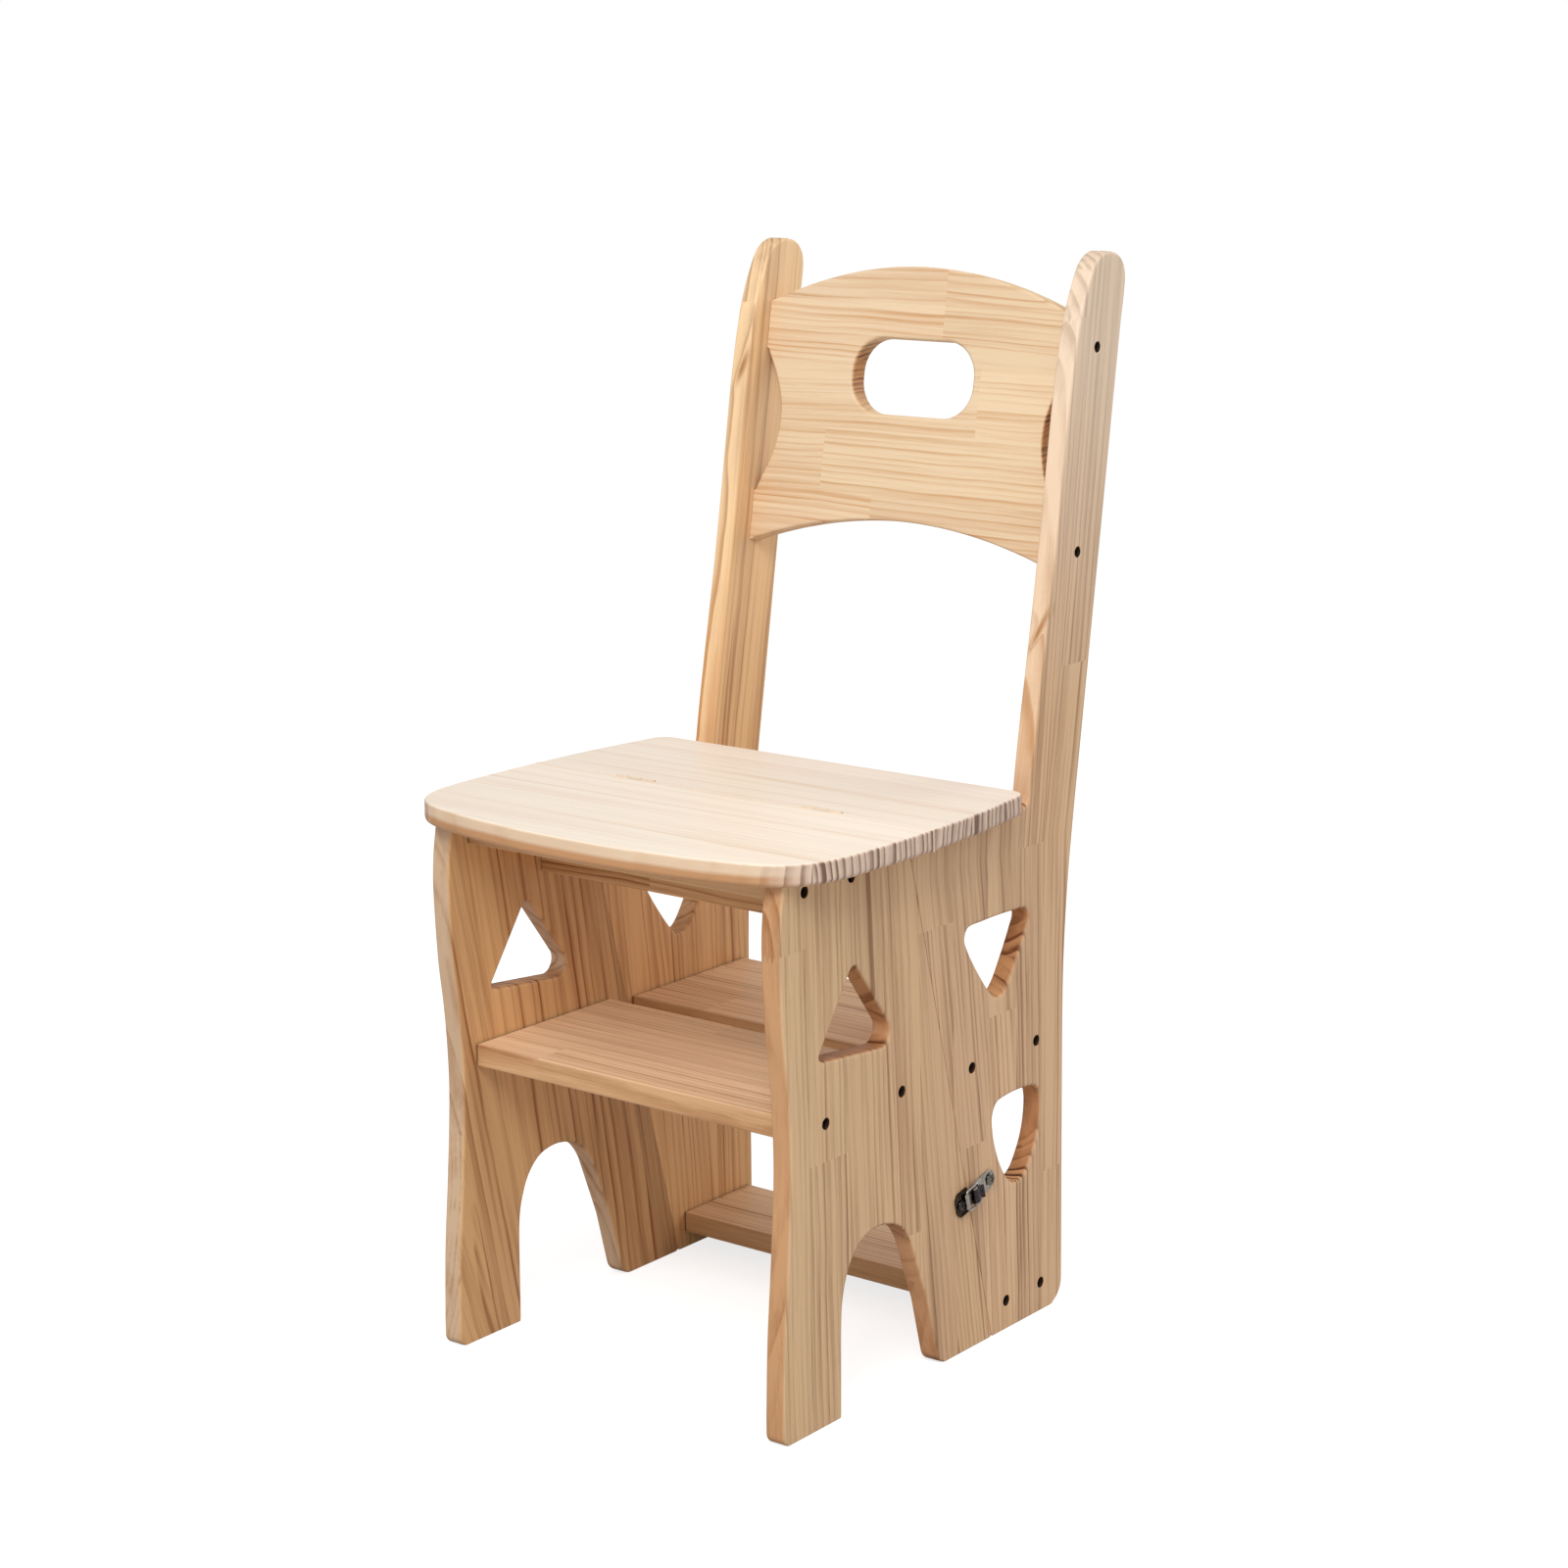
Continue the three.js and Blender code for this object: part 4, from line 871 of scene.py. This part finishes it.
for node, (y0, y1), (z0, z1), body in (
    ("top_tread", (20, 104), (413.7, 431.4), "front_frame"),
    ("mid_tread_front", (24, 184), (230, 248), "front_frame"),
    ("mid_tread_rear", (214, 363), (225, 243), "rear_frame"),
    ("bottom_tread", (278, 366), (15, 33), "rear_frame"),
):
    outline = slab(-TREAD_SPAN, TREAD_SPAN, y0, y1)
    m = board(outline, [], z0, z1, soften(outline, end_tight), steps=4).mesh(node)
    place(node + "_wood", m, FLAT, body, [node], W_TREADS[node])
outline = slab(-TREAD_SPAN, TREAD_SPAN, 374, 431.4)
m = board(outline, [], -122.3, -104.3, soften(outline, end_tight), steps=4).mesh("apron")
place("seat_apron_wood", m, UPRIGHT, "front_frame", ["seat_apron"], W_APRON)

BO = backrest_outline()


def back_round(x, s):
    return 0.4 if abs(abs(x) - SPAN) < 0.4 else 2.4


m = board(BO, [(GRIP, 3.2)], -9, 9, soften(BO, back_round), steps=6).mesh("backrest")
place("backrest_panel_wood", m, LEANED, "rear_frame", ["backrest_panel"], W_BACK)


# ------------------------------------------------------------------ turned pieces
def turned(profile, n=32, socket=None):
    """A turned body about the h axis; profile rows (r, h) start and end on the axis. socket: (across flats, depth) sunk at the last h."""
    s = Solid()
    t = np.arange(n) * 2 * math.pi / n
    rows = profile[1:-1]
    rings = [np.column_stack([r * np.cos(t), r * np.sin(t), np.full(n, h)]) for r, h in rows]
    if socket:
        flats, depth = socket
        h = rows[-1][1]
        six = []
        for a in t:
            k = (a % (math.pi / 3)) - math.pi / 6
            six.append(flats / 2 / math.cos(k))
        six = np.array(six)
        rings.append(np.column_stack([six * np.cos(t), six * np.sin(t), np.full(n, h)]))
        rings.append(np.column_stack([six * np.cos(t), six * np.sin(t), np.full(n, h - depth)]))
    lo, hi = s.walls(rings)
    s.fan([0, 0, profile[0][1]], lo, n, False)
    s.fan([0, 0, rings[-1][0][2] - 0.4 if socket else profile[-1][1]], hi, n, True)
    return s


BLACK_SCREW = metal("black_oxide_steel", (0.045, 0.034, 0.030), 0.45, dirt=0.5)
SCREW = [(0, -51.6), (1.4, -51), (2.5, -46.6), (2.5, -6.6), (3.5, -6.5), (3.72, -6.2), (3.72, -4.0), (3.45, -3.65), (2.3, -3.6), (0, -3.6)]
screw_mesh = turned(SCREW, 24, (3.6, 2.0)).mesh("screw", 30)
AXIS_R = basis((0, 1, 0), (0, 0, 1), (1, 0, 0))
AXIS_L = basis((0, 0, 1), (0, 1, 0), (-1, 0, 0))
SCREWS = {"top_tread_1": (28, 422.55), "top_tread_2": (85, 422.55), "mid_tread_front_1": (52, 239), "mid_tread_front_2": (148, 239),
          "mid_tread_rear_1": (242, 234), "mid_tread_rear_2": (333, 234), "bottom_tread_1": (291, 24), "bottom_tread_2": (341, 24),
          "backrest_1": REAR_SCREWS[4], "backrest_2": REAR_SCREWS[5]}
for k, (name, (y, z)) in enumerate(SCREWS.items()):
    body = "front_frame" if name.startswith(("top_tread", "mid_tread_front")) else "rear_frame"
    for side, sx, axes in (("right", 1, AXIS_R), ("left", -1, AXIS_L)):
        mm = axes.copy()
        mm.translation = Vector((sx * HALF_WIDTH, y - CY, z)) / 1000
        mm = mm @ Matrix.Rotation(0.7 * k + (0.4 if sx > 0 else 0), 4, "Z")
        place(f"screw_{name}_{side}_turned", screw_mesh.copy(), mm, body, [f"screw_{name}_{side}"], BLACK_SCREW, weighted=False)

# ------------------------------------------------------------------ seat hinges
HINGE_METAL = metal("cream_lacquered_steel", srgb(236, 217, 194), 0.42, dirt=0.10, metallic=0.15)
for n, o in frame["nodes"].items():
    if n.startswith(("seat_hinge", "hinge_screw")):
        o.data.materials.clear()
        o.data.materials.append(HINGE_METAL)
        o.data.polygons.foreach_set("use_smooth", [True] * len(o.data.polygons))
        o.data.set_sharp_from_angle(angle=math.radians(40))

# ------------------------------------------------------------------ latches
BRONZE = metal("dark_bronzed_steel", (0.075, 0.055, 0.036), 0.20, dirt=0.8, cloudy=330.0)
# painted reflection: a near-black base colour on the lever and the catch screw, standing in for the dark room that
# plated metal reflects
NICKEL_DARK_REFLECTION = metal("nickel_painted_dark_reflection", (0.105, 0.085, 0.092), 0.14, dirt=0.85, cloudy=300.0)
NICKEL_WORN = metal("worn_nickel", (0.27, 0.255, 0.215), 0.22, dirt=0.6, cloudy=300.0)
NICKEL = metal("bright_nickel", (0.55, 0.52, 0.48), 0.20, dirt=0.5, cloudy=300.0)


def join_meshes(name, parts, sharp=34):
    bm = bmesh.new()
    for p in parts:
        bm.from_mesh(p)
    m = bpy.data.meshes.new(name)
    bm.to_mesh(m)
    bm.free()
    m.polygons.foreach_set("use_smooth", [True] * len(m.polygons))
    m.set_sharp_from_angle(angle=math.radians(sharp))
    return m


def union(mesh, others):
    o = bpy.data.objects.new("joined", mesh)
    bpy.context.scene.collection.objects.link(o)
    extra = []
    for c in others:
        k = bpy.data.objects.new("other", c)
        bpy.context.scene.collection.objects.link(k)
        extra.append(k)
        b = o.modifiers.new("add", "BOOLEAN")
        b.operation, b.solver, b.object = "UNION", "EXACT", k
    bpy.context.view_layer.update()
    made = bpy.data.meshes.new_from_object(o.evaluated_get(bpy.context.evaluated_depsgraph_get()))
    for k in [o, *extra]:
        bpy.data.objects.remove(k)
    bm = bmesh.new()
    bm.from_mesh(made)
    bmesh.ops.triangulate(bm, faces=bm.faces)
    bmesh.ops.remove_doubles(bm, verts=bm.verts, dist=2e-5)
    bmesh.ops.recalc_face_normals(bm, faces=bm.faces)
    bm.to_mesh(made)
    bm.free()
    made.polygons.foreach_set("use_smooth", [True] * len(made.polygons))
    made.set_sharp_from_angle(angle=math.radians(32))
    return made


def moved(mesh, matrix):
    mesh.transform(matrix)
    return mesh


def plate(rows, h0, h1, r=0.25, bores=(), steps=3, seg=10):
    p = tidy(rounded(rows, seg), 1.5)
    return board(p, [(circle(u, v, q), 0.15) for u, v, q in bores], h0, h1, r, steps=steps).mesh("plate")


# an outline in (along, out) with width across
ON_EDGE = Matrix(((1, 0, 0, 0), (0, 0, -1, 0), (0, 1, 0, 0), (0, 0, 0, 1)))


def edgewise(rows, v0, v1, r=0.2, bores=(), seg=6):
    p = tidy(rounded(rows, seg), 1.0)
    s = board(p, [(circle(u, v, q, 20), 0.1) for u, v, q in bores], -v1, -v0, r, steps=2)
    return moved(s.mesh("edgewise"), ON_EDGE)


PIVOT, BAIL_AT = (4.5, 4.4), (9.6, 4.4)
BASE_SCREW, CATCH_SCREW = 28.8, -12.8


def base_plate():
    body = plate([(1, -8.2, 1), (35.6, -8.2, 7.8), (35.6, 8.2, 7.8), (1, 8.2, 1)], 0.3, 1.5, 0.3, [(BASE_SCREW, 0, 1.9)])
    ears = [edgewise([(1.7, 1.0), (7.3, 1.0), (7.3, 6.8, 2.4), (1.7, 6.8, 2.4)], a, b, 0.2, [(*PIVOT, 1.2)]) for a, b in ((-7.4, -6.2), (6.2, 7.4))]
    rib = edgewise([(8, 1.2), (23.4, 1.2), (22.4, 2.1, 0.6), (9, 2.1, 0.6)], -3.6, 3.6, 0.2)
    return union(body, [*ears, rib])


def catch_plate():
    body = plate([(-18.8, -10.6, 7), (-1, -10.6, 1.5), (-1, 10.6, 1.5), (-18.8, 10.6, 7)], 0.3, 1.5, 0.35, [(CATCH_SCREW, 0, 1.9)])
    ridge = edgewise([(-2.2, 1.0), (-2.2, 3, 0.9), (-6.4, 3, 0.6), (-6.4, 2.1, 0.2), (-4.1, 2.1, 0.3), (-3.8, 1.0)], -6, 6, 0.15)
    lips = [edgewise([(-16, 1.2), (-2.2, 1.2), (-3, 2.4, 0.7), (-13, 2.4, 0.9)], a, b, 0.25) for a, b in ((-10.2, -8.6), (8.6, 10.2))]
    return union(body, [ridge, *lips])


def lever_mesh():
    top = [(1.7, 4.6), (2.2, 5.9), (3.5, 6.9), (5.4, 7.2), (7.4, 6.9), (9.2, 6.2), (11.0, 6.1), (13.0, 7.4)]
    low = [(13.4, 6.7), (11.4, 5.2), (9.4, 5.2), (7.4, 5.8), (5.4, 6.0), (3.9, 5.7), (3.0, 4.9)]
    curve = [np.array(q) for q in smooth(top, 60) + smooth(low, 50)]
    p = tidy(curve, 1.0)
    sheet = moved(board(p, [], -5.8, 5.8, 0.25, steps=3).mesh("sheet"), ON_EDGE)
    t = [math.pi * (0.5 + i / 12) for i in range(13)]
    side = [(PIVOT[0] + 2.4 * math.cos(a), PIVOT[1] + 2.4 * math.sin(a)) for a in t] + [(10.6, 2.0, 1), (11.8, 3.4, 0.8), (12.0, 4.8, 0.4), (10.6, 5.6), (8, 6.1), (4.5, 6.4)]
    cheeks = [edgewise(side, a, b, 0.2, [(*PIVOT, 1.15), (*BAIL_AT, 1.3)]) for a, b in ((-5.7, -4.5), (4.5, 5.7))]
    return union(sheet, cheeks)


def tube(path, r, n=14):
    """A closed round bar along a path, with flat ends."""
    p = np.array(path, float)
    d = np.gradient(p, axis=0)
    d /= np.linalg.norm(d, axis=1)[:, None]
    up = np.array([0, 0, 1.0])
    s = Solid()
    rings = []
    t = np.arange(n) * 2 * math.pi / n
    for q, e in zip(p, d):
        x = np.cross(up, e)
        x /= np.linalg.norm(x)
        y = np.cross(e, x)
        rings.append(q + r * (np.cos(t)[:, None] * x + np.sin(t)[:, None] * y))
    lo, hi = s.walls(rings)
    s.fan(p[0], lo, n, False)
    s.fan(p[-1], hi, n, True)
    return s.mesh("tube", 50)


def bail_mesh():
    u, n = BAIL_AT
    stops = [(u, -3.9), (u, -8.9), (-6.6, -8.9), (-6.6, 8.9), (u, 8.9), (u, 3.9)]
    path, r = [np.array([*stops[0], n])], 2.0
    for i in range(1, 5):
        a, b, c = (np.array([*q, n], float) for q in stops[i - 1:i + 2])
        e0, e1 = (a - b) / np.linalg.norm(a - b), (c - b) / np.linalg.norm(c - b)
        s, e = b + e0 * r, b + e1 * r
        o = b + (e0 + e1) * r
        for k in range(9):
            t = k / 8 * math.pi / 2
            path.append(o + (s - o) * math.cos(t) + (e - o) * math.sin(t))
    path.append(np.array([*stops[-1], n]))
    dense = []
    for a, b in zip(path, path[1:]):
        k = max(1, int(np.linalg.norm(b - a) / 1.2))
        dense += [a + (b - a) * j / k for j in range(k)]
    dense.append(path[-1])
    claw = [(-8.0, 3.6), (-7.5, 4.9, 0.6), (-6.3, 5.6, 0.9), (-4.6, 5.2, 0.6), (-4.2, 4.5), (-4.8, 4.2, 0.4), (-6.3, 4.4, 0.6), (-7.1, 3.9, 0.4), (-7.5, 3.4)]
    return union(tube(dense, 0.95), [edgewise(claw, -6.8, 6.8, 0.2)])


def pan_screw(r):
    head = [(0, -13), (1.4, -11), (1.4, 0.1), (r - 0.3, 0.1), (r, 0.4), (r, 0.9), (r * 0.93, 1.35), (r * 0.75, 1.85), (r * 0.5, 2.2), (r * 0.25, 2.36), (0, 2.4)]
    m = turned(head, 36).mesh("pan", 40)
    a, b = r * 0.5, r * 0.11
    cross = [box_mesh(-a, a, -b, b, 1.75, 4), box_mesh(-b, b, -a, a, 1.75, 4)]
    return carve(m, cross)


parts = {
    "catch_plate": ("front_frame", catch_plate(), BRONZE, "latch_dark", (0, 0, 0)),
    "catch_screw": ("front_frame", pan_screw(4.0), NICKEL_DARK_REFLECTION, "latch_bright", (CATCH_SCREW, 0, 1.7)),
    "base_plate": ("rear_frame", base_plate(), NICKEL, "latch_bright", (0, 0, 0)),
    "base_screw": ("rear_frame", pan_screw(5.1), NICKEL_WORN, "latch_bright", (BASE_SCREW, 0, 1.7)),
    "lever": (None, lever_mesh(), NICKEL_DARK_REFLECTION, "latch_dark", (0, 0, 0)),
    "bail": (None, bail_mesh(), NICKEL, "latch_bright", (0, 0, 0)),
}
pin = turned([(0, -7.7), (0.7, -7.7), (0.95, -7.5), (0.95, 7.5), (0.7, 7.7), (0, 7.7)], 20).mesh("pin", 40)
pin = moved(pin, Matrix.Rotation(-math.pi / 2, 4, "X"))
parts["pivot_pin"] = ("rear_frame", pin, NICKEL, "latch_bright", (PIVOT[0], 0, PIVOT[1]))
for side, sx in (("right", 1), ("left", -1)):
    along = Vector((0, math.cos(TILT), math.sin(TILT)))
    out = Vector((sx, 0, 0))
    axes = basis(along, out.cross(along), out)
    for part, (body, mesh, material, slot_name, at) in parts.items():
        mm = axes.copy()
        mm.translation = (Vector((sx * HALF_WIDTH, LATCH[0] - CY, LATCH[1])) + along * at[0] + out * at[2]) / 1000
        body = body or f"latch_{part}_{side}_body"
        place(f"latch_{side}_{part}_formed", mesh.copy(), mm, body, [f"latch_{side}_{part}"], material, weighted=False)


# ------------------------------------------------------------------ floor and light
def floor():
    g = Graph("floor")
    tex = g.node("ShaderNodeTexCoord")
    soft = g.noise(tex.outputs["Object"], 3.0, 0.5, 1.5)
    g.put(g.bsdf.inputs["Base Color"], g.mix(soft, (0.41, 0.41, 0.41), (0.43, 0.43, 0.43)))
    g.bsdf.inputs["Roughness"].default_value = 0.9
    g.bsdf.inputs["Specular IOR Level"].default_value = 0.0
    seen = g.node("ShaderNodeEmission")
    seen.inputs[1].default_value = 0.77
    both, pick, bounce, path = g.node("ShaderNodeAddShader"), g.node("ShaderNodeMixShader"), g.node("ShaderNodeBsdfDiffuse"), g.node("ShaderNodeLightPath")
    bounce.inputs[0].default_value = (0.60, 0.59, 0.58, 1)
    g.put(both.inputs[0], g.bsdf.outputs[0])
    g.put(both.inputs[1], seen.outputs[0])
    g.put(pick.inputs[0], path.outputs["Is Camera Ray"])
    g.put(pick.inputs[1], bounce.outputs[0])
    g.put(pick.inputs[2], both.outputs[0])
    g.put(g.out.inputs[0], pick.outputs[0])
    bm = bmesh.new()
    bmesh.ops.create_grid(bm, x_segments=8, y_segments=8, size=40)
    m = bpy.data.meshes.new("floor")
    bm.to_mesh(m)
    bm.free()
    o = bpy.data.objects.new("floor", m)
    bpy.context.scene.collection.objects.link(o)
    m.materials.append(g.material)


def light(name, at, aim, size, power, colour=(1, 1, 1)):
    d = bpy.data.lights.new(name, "AREA")
    d.shape, d.size, d.energy, d.color = "DISK", size, power, colour
    o = bpy.data.objects.new(name, d)
    bpy.context.scene.collection.objects.link(o)
    o.location = at
    o.rotation_mode = "QUATERNION"
    o.rotation_quaternion = (Vector(aim) - Vector(at)).to_track_quat("-Z", "Y")


def world(strength):
    w = bpy.context.scene.world or bpy.data.worlds.new("world")
    bpy.context.scene.world = w
    w.use_nodes = True
    t = w.node_tree
    t.nodes.clear()
    out = t.nodes.new("ShaderNodeOutputWorld")
    seen, lit = t.nodes.new("ShaderNodeBackground"), t.nodes.new("ShaderNodeBackground")
    seen.inputs[0].default_value = (1, 1, 1, 1)
    seen.inputs[1].default_value = 1.0
    lit.inputs[0].default_value = (1.0, 0.985, 0.965, 1)
    lit.inputs[1].default_value = strength
    path, mix = t.nodes.new("ShaderNodeLightPath"), t.nodes.new("ShaderNodeMixShader")
    t.links.new(path.outputs["Is Camera Ray"], mix.inputs[0])
    t.links.new(lit.outputs[0], mix.inputs[1])
    t.links.new(seen.outputs[0], mix.inputs[2])
    t.links.new(mix.outputs[0], out.inputs[0])


floor()
world(0.60)
light("key", (0.85, -1.85, 2.45), (0, 0.05, 0.5), 1.5, 50)
light("fill", (1.0, 1.7, 1.5), (0.1, 0.1, 0.5), 1.4, 9)
view = bpy.context.scene.view_settings
view.view_transform = "Standard"
view.look = "None"
